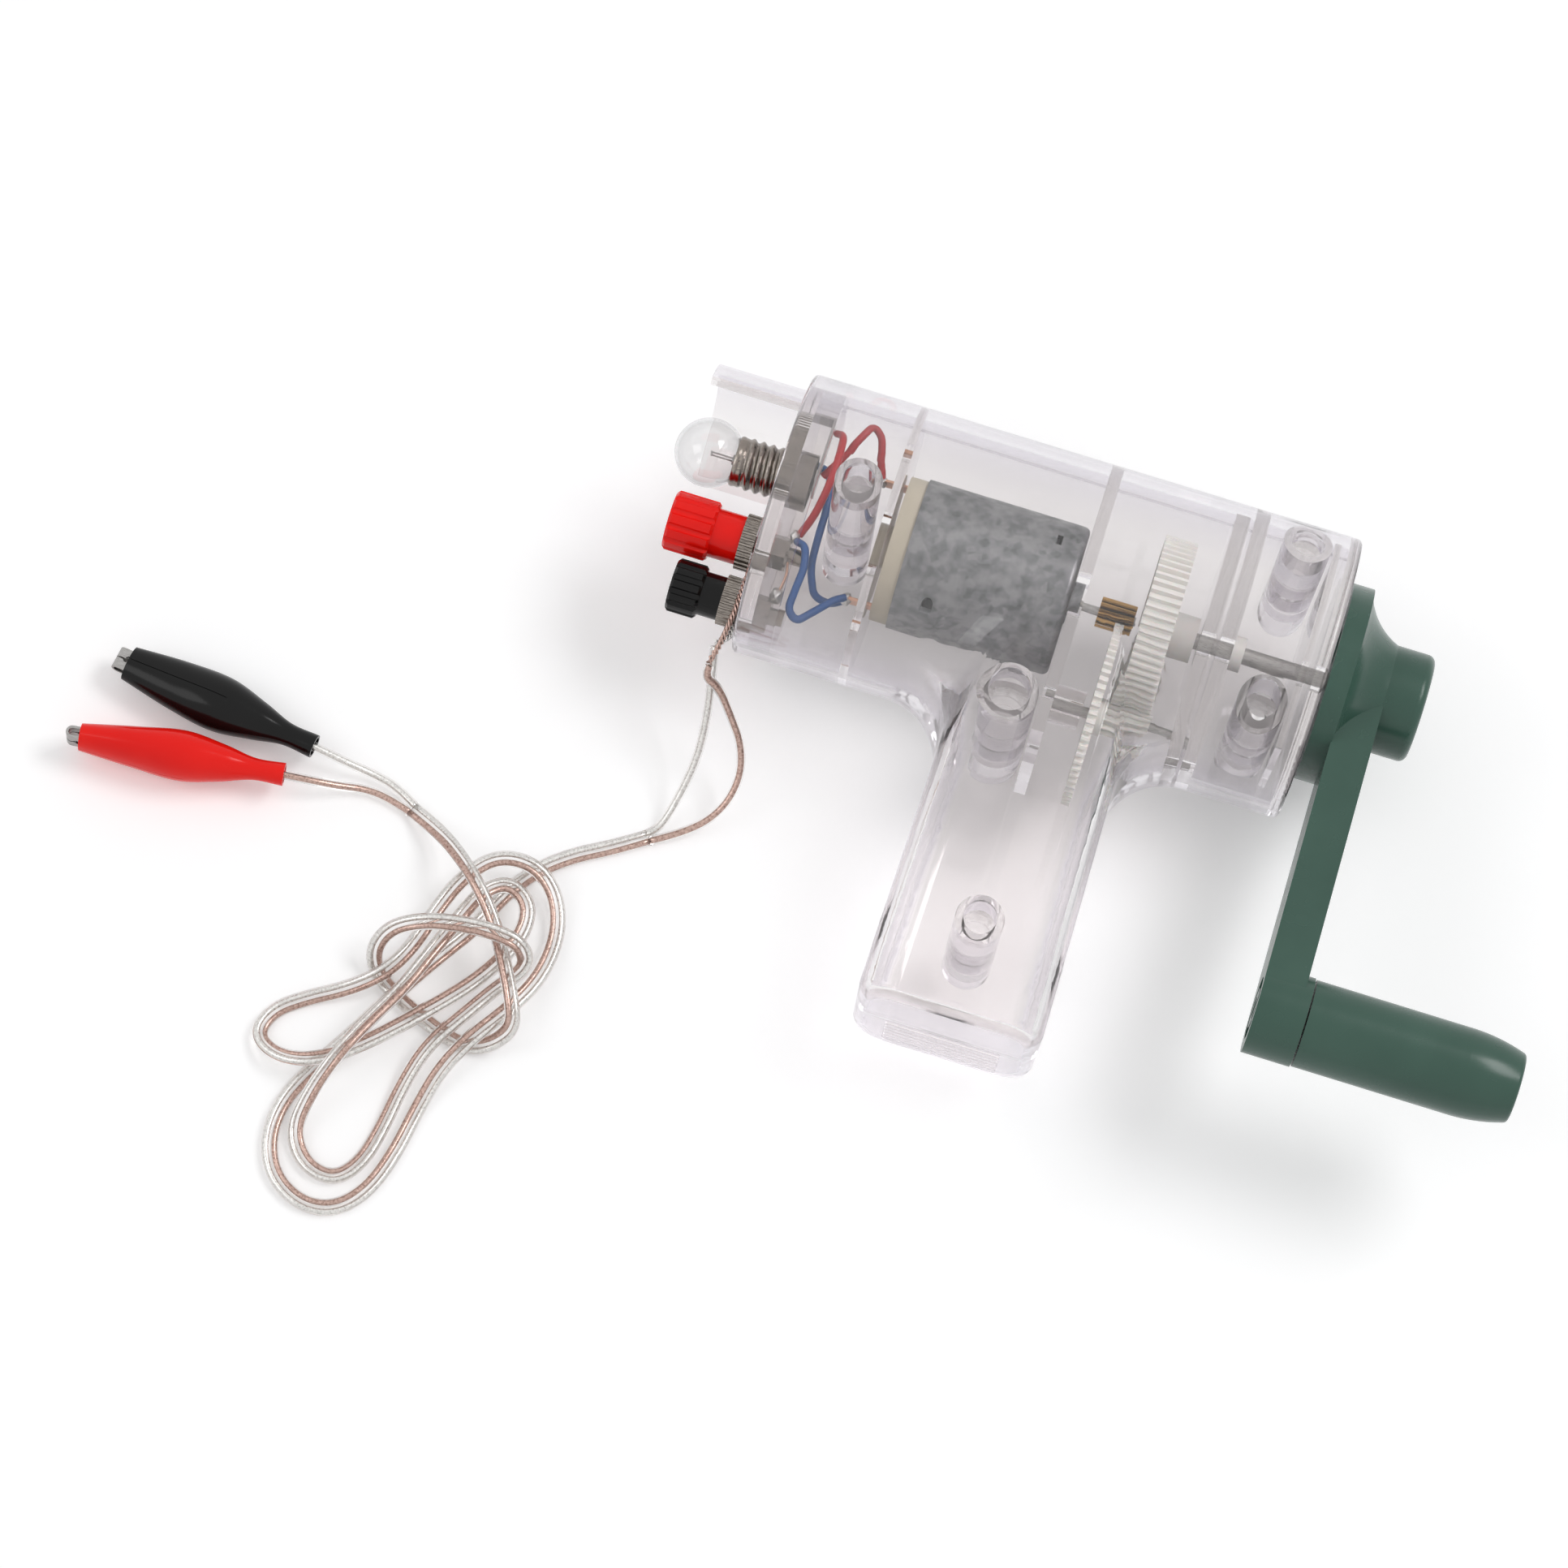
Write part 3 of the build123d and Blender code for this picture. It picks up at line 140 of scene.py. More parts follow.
def plastic(name, dark, light, rough, gloss=0.5):
    """Moulded plastic: faint colour drift, uneven roughness and a fine grain."""
    mat, tree, shader, _ = material(name)
    drift = noise(tree, DRIFT_SCALE, 3.0)
    tree.links.new(ramp(tree, drift, shade(dark, light)), shader.inputs["Base Color"])
    tree.links.new(spread(tree, noise(tree, GLOSS_SCALE), *rough), shader.inputs["Roughness"])
    bump(tree, shader, noise(tree, MOULD_GRAIN), GRAIN_STRENGTH, GRAIN_HEIGHT)
    shader.inputs["IOR"].default_value = PLASTIC_IOR
    shader.inputs["Specular IOR Level"].default_value = gloss
    return mat


TURNED = (1.0, 18.0, 18.0)        # how turning marks are squeezed along each axis
EVEN = (1.0, 1.0, 1.0)
TURNED_GRAIN = 900.0
WIRE_GRAIN = 2400.0
# Reach, samples and colour stops of the painted shade that darkens metal in its crevices
PAINTED_SHADE_REACH = 0.0012
PAINTED_SHADE_SAMPLES = 6
PAINTED_CREVICE_SHADE = [(0.35, (0.10, 0.09, 0.08)), (0.92, (1.0, 1.0, 1.0))]


def metal(name, dark, light, rough, stretch=TURNED, grain=TURNED_GRAIN):
    """Turned or drawn metal: streaks of tone and roughness, with painted shade darkening the colour in its
    own crevices.
    """
    mat, tree, shader, _ = material(name)
    streaks = noise(tree, grain, 3.0, stretch)
    # Painted shade: ambient occlusion darkens the base colour in crevices, where shade falls
    crevice = add_node(tree, "ShaderNodeAmbientOcclusion")
    crevice.inputs["Distance"].default_value = PAINTED_SHADE_REACH
    crevice.samples = PAINTED_SHADE_SAMPLES
    crevice.only_local = True
    depth = ramp(tree, crevice.outputs["AO"], PAINTED_CREVICE_SHADE)
    painted_shade_mix = add_node(tree, "ShaderNodeMix", data_type="RGBA", blend_type="MULTIPLY")
    painted_shade_mix.inputs["Factor"].default_value = 1.0
    colour_in = [i for i in painted_shade_mix.inputs if i.type == "RGBA"]
    tree.links.new(ramp(tree, streaks, shade(dark, light)), colour_in[0])
    tree.links.new(depth, colour_in[1])
    colour_out = next(o for o in painted_shade_mix.outputs if o.type == "RGBA")
    tree.links.new(colour_out, shader.inputs["Base Color"])
    tree.links.new(spread(tree, streaks, *rough), shader.inputs["Roughness"])
    bump(tree, shader, streaks, GRAIN_STRENGTH, GRAIN_HEIGHT)
    shader.inputs["Metallic"].default_value = 1.0
    return mat


# Past either limit light goes straight on, so that walls don't trap it and turn black.
STRAIGHT_PAST = (("Transmission Depth", 6.5), ("Glossy Depth", 1.5))
EDGE_BLEND = 0.35
EDGE_STOPS = (0.15, 0.95)
HAZE_SCALE = 130.0
WEAR_SCALE = 180.0
WEAR_HEIGHT = 0.0002


def clear(name, tint, edge_tint, shadow, ior, rough, wear=0.04):
    """Clear plastic or glass that lets lamps through, more tinted where it is seen edge on."""
    mat, tree, shader, out = material(name)
    facing = add_node(tree, "ShaderNodeLayerWeight")
    facing.inputs["Blend"].default_value = EDGE_BLEND
    colour = ramp(tree, facing.outputs["Facing"], list(zip(EDGE_STOPS, (tint, edge_tint))))
    tree.links.new(colour, shader.inputs["Base Color"])
    shader.inputs["Transmission Weight"].default_value = 1.0
    shader.inputs["IOR"].default_value = ior
    tree.links.new(spread(tree, noise(tree, HAZE_SCALE, 4.0), *rough), shader.inputs["Roughness"])
    bump(tree, shader, noise(tree, WEAR_SCALE, 2.0), wear, WEAR_HEIGHT)
    light_path = add_node(tree, "ShaderNodeLightPath")
    through = add_node(tree, "ShaderNodeBsdfTransparent")
    through.inputs["Color"].default_value = (*shadow, 1.0)
    onward = add_node(tree, "ShaderNodeMath", operation="MAXIMUM")
    for side, (depth, limit) in enumerate(STRAIGHT_PAST):
        past = add_node(tree, "ShaderNodeMath", operation="GREATER_THAN")
        past.inputs[1].default_value = limit
        tree.links.new(light_path.outputs[depth], past.inputs[0])
        tree.links.new(past.outputs["Value"], onward.inputs[side])

    def mixed(factor, first, second):
        mix = add_node(tree, "ShaderNodeMixShader")
        tree.links.new(factor, mix.inputs["Fac"])
        tree.links.new(first, mix.inputs[1])
        tree.links.new(second, mix.inputs[2])
        return mix.outputs["Shader"]

    # The depths count only behind Is Glossy Ray, so that the plain surface is what a bake reads.
    body, open_way = shader.outputs["BSDF"], through.outputs["BSDF"]
    trapped = mixed(onward.outputs["Value"], body, open_way)
    seen = mixed(light_path.outputs["Is Glossy Ray"], body, trapped)
    lit = mixed(light_path.outputs["Is Shadow Ray"], seen, open_way)
    tree.links.new(lit, out.inputs["Surface"])
    return mat


ZINC_CELLS = 760.0
ZINC_CLOUDS = 330.0
CELL_SHARE = 0.28
ZINC_STOPS = [
    (0.35, (0.125, 0.130, 0.136)), (0.55, (0.200, 0.206, 0.214)), (0.8, (0.300, 0.304, 0.312)),
]


def galvanised():
    """Zinc plate: cloudy spangles of blue-grey, duller in places."""
    mat, tree, shader, _ = material("galvanised")
    coords = add_node(tree, "ShaderNodeTexCoord")
    cells = add_node(tree, "ShaderNodeTexVoronoi")
    cells.inputs["Scale"].default_value = ZINC_CELLS
    tree.links.new(coords.outputs["Object"], cells.inputs["Vector"])
    clouds = noise(tree, ZINC_CLOUDS, 8.0)
    tone = add_node(tree, "ShaderNodeMath", operation="MULTIPLY_ADD")
    tone.inputs[1].default_value = CELL_SHARE
    tree.links.new(cells.outputs["Color"], tone.inputs[0])
    tree.links.new(clouds, tone.inputs[2])
    tree.links.new(ramp(tree, tone.outputs["Value"], ZINC_STOPS), shader.inputs["Base Color"])
    tree.links.new(spread(tree, tone.outputs["Value"], 0.52, 0.34), shader.inputs["Roughness"])
    bump(tree, shader, clouds, 0.15, 0.00004)
    shader.inputs["Metallic"].default_value = 0.85
    return mat


CLEAR = clear("clear_plastic", (0.895, 0.880, 0.878), (0.60, 0.57, 0.70), (0.90, 0.89, 0.89),
              1.49, (0.0, 0.05))
GLASS = clear("lamp_glass", (0.92, 0.92, 0.92), (0.58, 0.59, 0.60), (0.95, 0.95, 0.96),
              1.46, (0.0, 0.01), 0.0)
SLEEVE = clear("clear_pvc", (0.95, 0.94, 0.93), (0.78, 0.75, 0.73), (0.92, 0.91, 0.90),
               1.36, (0.05, 0.16), 0.10)
GREEN = plastic("green_plastic", (0.030, 0.080, 0.058), (0.042, 0.100, 0.074), (0.20, 0.32), gloss=0.4)
NYLON = plastic("white_nylon", (0.74, 0.73, 0.70), (0.82, 0.81, 0.78), (0.42, 0.58))
CREAM = plastic("cream_plastic", (0.44, 0.40, 0.31), (0.56, 0.51, 0.41), (0.40, 0.55))
RED = plastic("red_plastic", (0.84, 0.006, 0.003), (0.94, 0.010, 0.005), (0.10, 0.18), gloss=0.22)
BLACK = plastic("black_plastic", (0.003, 0.003, 0.003), (0.006, 0.006, 0.006), (0.10, 0.20), gloss=0.22)
RED_WIRE = plastic("red_wire", (0.36, 0.006, 0.012), (0.46, 0.010, 0.018), (0.26, 0.38), gloss=0.25)
BLUE_WIRE = plastic("blue_wire", (0.014, 0.070, 0.230), (0.024, 0.100, 0.310), (0.26, 0.38), gloss=0.25)
MAGNET = plastic("magnet", (0.030, 0.030, 0.032), (0.055, 0.055, 0.058), (0.55, 0.75))
ZINC = galvanised()
STEEL = metal("bright_steel", (0.28, 0.27, 0.26), (0.50, 0.49, 0.48), (0.22, 0.38))
NICKEL = metal("nickel", (0.13, 0.112, 0.100), (0.44, 0.395, 0.355), (0.12, 0.26))
BRASS = metal("brass", (0.32, 0.18, 0.06), (0.52, 0.32, 0.12), (0.24, 0.40))
COPPER = metal("copper", (0.50, 0.26, 0.17), (0.72, 0.44, 0.32), (0.24, 0.40))
COPPER_CORE = metal("copper_core", (0.36, 0.23, 0.19), (0.66, 0.48, 0.42), (0.22, 0.36), EVEN, WIRE_GRAIN)
TINNED = metal("tinned", (0.58, 0.57, 0.55), (0.86, 0.85, 0.83), (0.22, 0.36), EVEN, WIRE_GRAIN)
SOLDER = metal("solder", (0.48, 0.48, 0.47), (0.68, 0.68, 0.67), (0.28, 0.46))

nylon_shader = NYLON.node_tree.nodes["Principled BSDF"]
nylon_shader.inputs["Subsurface Weight"].default_value = 0.15
nylon_shader.inputs["Subsurface Scale"].default_value = 0.001

FINISH = {
    "clear_plastic": CLEAR, "green_plastic": GREEN, "white_nylon": NYLON, "cream_plastic": CREAM,
    "red_plastic": RED, "black_plastic": BLACK, "galvanised_steel": ZINC, "bright_steel": STEEL,
    "nickel": NICKEL, "brass_metal": BRASS, "copper_metal": COPPER, "magnet": MAGNET,
    "lamp_glass": GLASS, "red_wire_pvc": RED_WIRE, "blue_wire_pvc": BLUE_WIRE,
    "clear_lead_silver": SLEEVE, "clear_lead_copper": SLEEVE,
}
for part in frame["record"]["subparts"]:
    node = NODES[part["node"]]
    node.data.materials.clear()
    node.data.materials.append(FINISH[part["material_slot"]])


# ---------------- meshes from rings ----------------
def join_rings(bm, rings, gaps=None):
    """Faces between neighbouring rings, all the way round or over the first gaps only."""
    count = len(rings[0])
    for before, after in zip(rings, rings[1:]):
        for k in range(gaps or count):
            following = (k + 1) % count
            bm.faces.new((before[k], before[following], after[following], after[k]))


def tube(bm, rings):
    """A skin through the rings, with flat ends."""
    join_rings(bm, rings)
    bm.faces.new(rings[0])
    bm.faces.new(list(reversed(rings[-1])))


def new_piece(name, bm, mat, body=None, at=(0.0, 0.0, 0.0)):
    """The mesh as an object that rides on body, if one is given. Its sides are smooth, its ends flat."""
    bmesh.ops.recalc_face_normals(bm, faces=bm.faces)
    mesh = bpy.data.meshes.new(name)
    bm.to_mesh(mesh)
    bm.free()
    for face in mesh.polygons:
        face.use_smooth = len(face.vertices) <= 4
    mesh.materials.append(mat)
    piece = bpy.data.objects.new(name, mesh)
    piece.location = at
    bpy.context.scene.collection.objects.link(piece)
    if body:
        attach(piece, body)
    return piece


# ---------------- lead and its hank: routes and widths in mm ----------------
TABLE_SHIFT = Vector((-66.575, 29.2939, 0.0))     # from the routes' frame to the row frame
REST_TURN = math.radians(6.1376852256)            # the device's turn about X as it lies on the table
TUBE_RADIUS = 26.0
PAIR_WIDTH = 3.0
CORE_OFFSET = 0.72
LEAD_WIDTH = 1.7
CORE_WIDTH = 0.85
LEAD_SIDES = 14
CORE_SIDES = 8
PAIR_DROP = 0.4                                   # the flat pair lies lower than a round one
PAIR_ARC = range(-125, 126, 25)                   # degrees round each half of the pair, up to the web
SAME_POINT = 1e-5                                 # in metres


def on_table(x, y, z):
    """A point of the device in the routes' frame."""
    return (x, y * math.cos(REST_TURN) - z * math.sin(REST_TURN),
            y * math.sin(REST_TURN) + z * math.cos(REST_TURN) + TUBE_RADIUS)


PAIR_ROUTE = [
    (-4.5, -57.2, 1.5), (-9.5, -60.9, 1.6), (-16.0, -64.7, 1.6), (-21.5, -69.5, 1.6), (-25.6, -75.8, 1.6),
    (-28.1, -83.5, 3.2), (-32.2, -91.3, 5.4), (-35.7, -97.3, 5.4), (-39.0, -103.2, 4.8),
    (-43.0, -109.8, 2.0),
    (-47.6, -117.6, 1.6), (-50.7, -124.8, 1.6), (-50.9, -132.2, 1.6), (-47.8, -138.5, 1.6),
    (-41.7, -141.9, 1.6), (-35.6, -141.0, 1.6), (-31.2, -135.7, 1.6), (-28.9, -127.6, 1.6),
    (-27.8, -118.9, 1.6), (-26.1, -111.2, 3.5), (-22.6, -104.6, 5.4), (-17.9, -97.5, 5.4),
    (-14.5, -89.3, 3.5), (-14.1, -80.2, 2.0), (-16.5, -73.7, 3.2), (-21.5, -70.1, 5.6), (-28.4, -70.4, 5.4),
    (-33.0, -75.7, 5.2), (-35.7, -83.3, 5.4), (-37.4, -91.3, 5.6), (-40.5, -97.9, 5.8),
    (-46.2, -101.8, 2.6), (-52.9, -105.5, 1.6), (-57.8, -109.5, 1.6), (-59.0, -114.8, 1.8),
    (-53.9, -118.0, 3.8), (-47.0, -117.2, 5.7), (-40.3, -112.0, 5.4),
    (-27.2, -97.4, 5.4), (-22.5, -90.2, 5.4), (-19.8, -83.2, 5.4), (-20.4, -77.5, 5.4), (-25.0, -74.6, 5.5),
    (-29.2, -78.1, 6.0), (-31.4, -85.4, 8.0), (-33.9, -93.0, 9.0), (-36.6, -101.1, 9.0),
    (-40.7, -109.3, 9.0), (-43.7, -116.7, 9.4), (-46.3, -123.1, 5.0), (-47.3, -129.5, 1.6),
    (-43.3, -134.9, 1.6), (-37.5, -135.9, 1.6), (-33.9, -131.3, 1.6), (-32.5, -124.1, 1.6),
    (-31.6, -115.7, 2.4), (-29.5, -107.9, 4.6), (-25.2, -101.1, 5.4), (-21.2, -94.3, 5.4),
    (-17.1, -89.4, 6.4), (-18.8, -87.5, 11.8), (-24.5, -87.0, 12.6), (-30.6, -87.5, 12.6),
    (-36.6, -88.8, 12.2), (-41.9, -90.8, 9.6), (-44.1, -93.9, 5.4), (-42.8, -96.8, 1.6),
    (-38.0, -100.0, 1.6), (-32.7, -102.5, 1.6), (-27.3, -104.5, 1.6), (-22.9, -105.3, 1.6),
    (-18.8, -103.8, 3.0), (-15.9, -101.3, 7.4), (-17.7, -96.9, 9.6), (-20.9, -91.0, 9.4),
    (-24.3, -85.0, 8.8), (-28.8, -79.7, 10.6), (-33.6, -74.8, 9.2), (-40.0, -68.6, 3.6),
    (-46.1, -65.5, 1.6),
]
# The red lead's second point lets it leave in line with its bare end. Both leads end on the pair's halves.
LEAD_RED_ROUTE = [
    on_table(-2.3, -31.1, 0.3), (-2.7, -32.6, 21.6), (0.2, -32.5, 18.5), (3.6, -35.3, 14.0),
    (6.8, -38.6, 10.5),
    (8.3, -43.4, 7.2), (6.9, -49.0, 4.0), (2.2, -54.2, 1.9), (-4.03, -57.75, 1.1),
]
LEAD_BLACK_ROUTE = [
    on_table(-2.6, -26.8, -1.5), (-1.6, -30.9, 18.0), (-0.4, -37.1, 13.0), (-0.1, -43.3, 8.2),
    (-1.6, -50.4, 3.4), (-3.2, -55.3, 1.1), (-4.89, -56.59, 1.1),
]
PIGTAIL_RED_ROUTE = [
    on_table(-0.65, -9.3, 3.4), on_table(-0.65, -16.0, 5.2), on_table(-0.75, -23.4, 4.6),
    on_table(-2.5, -30.8, 0.6),
]
PIGTAIL_BLACK_ROUTE = [
    on_table(-0.65, -14.6, -3.4), on_table(-0.65, -21.0, -3.8), on_table(-0.85, -24.2, -3.0),
    on_table(-2.6, -26.0, -1.5),
]
CLIP_RED_ROUTE = [
    (-46.47, -66.12, 1.2), (-50.6, -64.8, 1.3), (-55.4, -64.5, 1.6), (-60.0, -66.0, 3.0),
    (-64.6, -67.2, 4.8),
    (-70.889, -68.075, 5.42),
]
CLIP_BLACK_ROUTE = [
    (-45.81, -64.84, 1.2), (-49.8, -62.4, 1.3), (-54.8, -61.4, 1.8), (-60.0, -61.4, 3.4),
    (-67.588, -60.617, 4.7),
]


def to_row(points, drop=0.0):
    """Points of a route in metres in the row frame, lowered by drop."""
    return [(Vector(p) + TABLE_SHIFT - Vector((0, 0, drop))) / 1000 for p in points]


def spline_points(name, points):
    """Points read from the smooth NURBS line through a route."""
    data = bpy.data.curves.new(name, "CURVE")
    data.dimensions = "3D"
    data.resolution_u = 10
    line = data.splines.new("NURBS")
    line.points.add(len(points) - 1)
    for target, point in zip(line.points, points):
        target.co = (*point, 1.0)
    line.order_u = 3
    line.use_endpoint_u = True
    holder = bpy.data.objects.new(name, data)
    bpy.context.scene.collection.objects.link(holder)
    mesh = bpy.data.meshes.new_from_object(holder)
    found = [v.co.copy() for v in mesh.vertices]
    bpy.data.objects.remove(holder)
    bpy.data.meshes.remove(mesh)
    if (found[0] - points[0]).length > (found[-1] - points[0]).length:
        found.reverse()
    kept = [found[0]]
    for point in found[1:]:
        if (point - kept[-1]).length > SAME_POINT:
            kept.append(point)
    return kept


def path_length(path):
    return sum((b - a).length for a, b in zip(path, path[1:]))


def frames(path, roll=None):
    """Each point with the side and up directions of a ribbon that lies flat, or is rolled by roll(run)."""
    placed = []
    run = 0.0
    for i, here in enumerate(path):
        tangent = (path[min(i + 1, len(path) - 1)] - path[max(i - 1, 0)]).normalized()
        run += (here - path[i - 1]).length if i else 0.0
        up = Vector((0, 0, 1)) - tangent * tangent.z
        up.normalize()
        side = tangent.cross(up)
        turn = roll(run) if roll else 0.0
        placed.append((here, side * math.cos(turn) + up * math.sin(turn),
                       up * math.cos(turn) - side * math.sin(turn)))
    return placed


def sweep(name, placed, profile, mat):
    """A closed profile (side, up) carried along the frames, with flat ends."""
    bm = bmesh.new()
    tube(bm, [[bm.verts.new(c + s * u + w * v) for u, v in profile] for c, s, w in placed])
    return new_piece(name, bm, mat, "housing")


def round_profile(width, sides, shift=0.0):
    radius = width / 2000
    return [(shift / 1000 + radius * math.cos(a), radius * math.sin(a))
            for a in (2 * math.pi * k / sides for k in range(sides))]


def pair_profile():
    """Two round sleeves joined by a web: a flat pair's outline."""
    radius = (PAIR_WIDTH - 2 * CORE_OFFSET) / 2
    right = [(CORE_OFFSET + radius * math.cos(a), radius * math.sin(a))
             for a in (math.radians(d) for d in PAIR_ARC)]
    left = [(-u, -v) for u, v in right]
    return [(u / 1000, v / 1000) for u, v in right + left]


def lead(name, route, core_mat, node):
    """One insulated wire in place of its CAD node: its sleeve, its core and its middle line."""
    path = spline_points(name, to_row(route))
    placed = frames(path)
    sleeve = sweep(f"{name}_sleeve", placed, round_profile(LEAD_WIDTH, LEAD_SIDES), SLEEVE)
    core = sweep(f"{name}_core", placed, round_profile(CORE_WIDTH, CORE_SIDES), core_mat)
    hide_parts(node)
    return sleeve, core, path


red_lead = lead("lead_red_wire", LEAD_RED_ROUTE, COPPER_CORE, "lead_red")
black_lead = lead("lead_black_wire", LEAD_BLACK_ROUTE, TINNED, "lead_black")
clip_red_sleeve, clip_red_core, _ = lead("clip_red_wire", CLIP_RED_ROUTE, COPPER_CORE, "clip_lead_red")
clip_black_sleeve, clip_black_core, _ = lead("clip_black_wire", CLIP_BLACK_ROUTE, TINNED, "clip_lead_black")

pair_path = spline_points("pair", to_row(PAIR_ROUTE, PAIR_DROP))
PAIR_RUN = path_length(pair_path)
FLAT_END = 0.010                  # over this length in metres the pair turns flat, where its halves part
ROLL_WAVES = ((26, 0.031, 0.0), (10, 0.0127, 1.0))   # degrees, metres per radian, phase


def roll_of_pair(run):
    """The pair's lazy turning about itself, in radians."""
    flat = min(1.0, run / FLAT_END, max(0.0, PAIR_RUN - run) / FLAT_END)
    wave = sum(math.radians(most) * math.sin(run / reach + phase) for most, reach, phase in ROLL_WAVES)
    return flat * wave


pair_frames = frames(pair_path, roll_of_pair)
copper_profile = round_profile(CORE_WIDTH, CORE_SIDES, -CORE_OFFSET)
tinned_profile = round_profile(CORE_WIDTH, CORE_SIDES, CORE_OFFSET)
pair_sleeve = sweep("pair_sleeve", pair_frames, pair_profile(), SLEEVE)
pair_copper = sweep("pair_core_copper", pair_frames, copper_profile, COPPER_CORE)
pair_tinned = sweep("pair_core_tinned", pair_frames, tinned_profile, TINNED)
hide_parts("cord_pair")

# ---------------- bare twisted ends of the lead, clamped behind the knurled nuts, in mm ----------------
STRANDS = 3
STRAND_WIDTH = 0.54
STRAND_REACH = (0.28, 0.46)       # from the end's middle to a strand's, clamped and loose
STRAND_PITCH = 2.8
STRAND_SIDES = 7


def twisted(name, route, mat, node):
    """A bare stranded end that opens a little away from its nut."""
    path = spline_points(name, to_row(route))
    total = path_length(path)
    near, far = STRAND_REACH
    around = [2 * math.pi * k / STRAND_SIDES for k in range(STRAND_SIDES)]
    bm = bmesh.new()
    for strand in range(STRANDS):
        rings = []
        run = 0.0
        for i, (at, side, up) in enumerate(frames(path)):
            run += (at - path[i - 1]).length if i else 0.0
            turn = 2 * math.pi * (run * 1000 / STRAND_PITCH + strand / STRANDS)
            reach = near + (far - near) * run / total
            middle = at + (side * math.cos(turn) + up * math.sin(turn)) * (reach / 1000)
            rings.append([
                bm.verts.new(middle + (side * math.cos(a) + up * math.sin(a)) * (STRAND_WIDTH / 2000))
                for a in around])
        tube(bm, rings)
    piece = new_piece(name, bm, mat, "housing")
    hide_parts(node)


twisted("bare_end_red", PIGTAIL_RED_ROUTE, COPPER_CORE, "pigtail_red")
twisted("bare_end_black", PIGTAIL_BLACK_ROUTE, TINNED, "pigtail_black")

# ---------------- lamp's screw cap, in mm along the lamp and out from its axis ----------------
LAMP_Y = 7.3
CAP_START = -9.4
CAP_END = 3.6
TIP_END = 5.3
TIP_RADIUS = 1.7
TIP_CORE = 0.02                   # keeps the last ring open
SHOULDER = 1.1
SHOULDER_RISE = 2.6
LIP = (0.45, 0.35, 0.16)          # its place, width and height
THREAD_FROM = 1.3
THREAD_EASE = (0.8, 0.6)          # over which the thread rises and runs out
THREAD_PITCH = 1.81
THREAD_MEAN = 4.5
THREAD_SWELL = 0.28
CAP_SIDES = 72
CAP_STEP = 0.12


def cap_radius(x, a):
    """The cap's radius at x along the lamp and angle a: lip, a rounded screw thread, shoulder, solder tip."""
    if x > CAP_END:
        return TIP_RADIUS * math.sqrt(max(0.0, 1 - ((x - CAP_END) / (TIP_END - CAP_END)) ** 2)) + TIP_CORE
    if x > CAP_END - SHOULDER:
        return TIP_RADIUS + SHOULDER_RISE * math.sqrt(max(0.0, (CAP_END - x) / SHOULDER))
    rise, fall = THREAD_EASE
    begun = max(0.0, (x - CAP_START - THREAD_FROM) / rise)
    left = max(0.0, (CAP_END - SHOULDER - x) / fall)
    ease = min(1.0, begun, left)
    place, width, height = LIP
    lip = height * math.exp(-((x - CAP_START - place) / width) ** 2)
    return THREAD_MEAN + lip + ease * THREAD_SWELL * math.cos(2 * math.pi * x / THREAD_PITCH - a)


bm = bmesh.new()
cap_steps = int((TIP_END - CAP_START) / CAP_STEP)
cap_rings = []
for i in range(cap_steps + 1):
    x = CAP_START + (TIP_END - CAP_START) * i / cap_steps
    ring = []
    for k in range(CAP_SIDES):
        a = 2 * math.pi * k / CAP_SIDES
        r = cap_radius(x, a)
        at = Vector(on_table(x, LAMP_Y + r * math.cos(a), r * math.sin(a))) + TABLE_SHIFT
        ring.append(bm.verts.new(at / 1000))
    cap_rings.append(ring)
tube(bm, cap_rings)
lamp_cap = new_piece("lamp_cap", bm, NICKEL, "bulb")
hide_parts("bulb_cap")

# ---------------- solder on the posts' tags and the motor's terminals: x, y, z, radius, mm ----------------
SOLDERED = (
    (5.2, -3.4, 0.9, 1.15), (5.2, -14.9, 0.7, 1.5), (17.2, 11.6, 0.0, 1.0), (17.2, -11.6, 0.0, 1.25),
)
SOLDER_FLATTEN = 0.8
SOLDER_RIPPLE = 0.10
for number, (x, y, z, size) in enumerate(SOLDERED):
    bm = bmesh.new()
    bmesh.ops.create_icosphere(bm, subdivisions=4, radius=size / 1000)
    for v in bm.verts:
        d = v.co.normalized()
        ripple = 1 + SOLDER_RIPPLE * math.sin(5 * d.x + number) * math.cos(4 * d.y + 2 * d.z)
        v.co = Vector((v.co.x * SOLDER_FLATTEN, v.co.y, v.co.z)) * ripple
    middle = (Vector(on_table(x, y, z)) + TABLE_SHIFT) / 1000
    blob = new_piece(f"solder_{number}", bm, SOLDER, "housing", middle)

# ---------------- soft boots of the clips, in mm from the tail ----------------
BOOT_SECTIONS = (                 # along the boot, half height, half width
    (0.0, 2.2, 2.1), (5.5, 2.15, 2.0), (11.0, 3.6, 3.3), (18.5, 5.2, 4.5), (27.0, 4.75, 3.6),
    (37.0, 3.3, 2.35),
)
BOOT_WALL = 0.5
BOOT_SPLIT = 17.5                 # behind it the sleeve is whole, ahead of it it is slit
BOOT_END = BOOT_SECTIONS[-1][0]
SLIT = 0.06
CRISP_ANGLE = 50                  # degrees past which an edge of the wall stays sharp


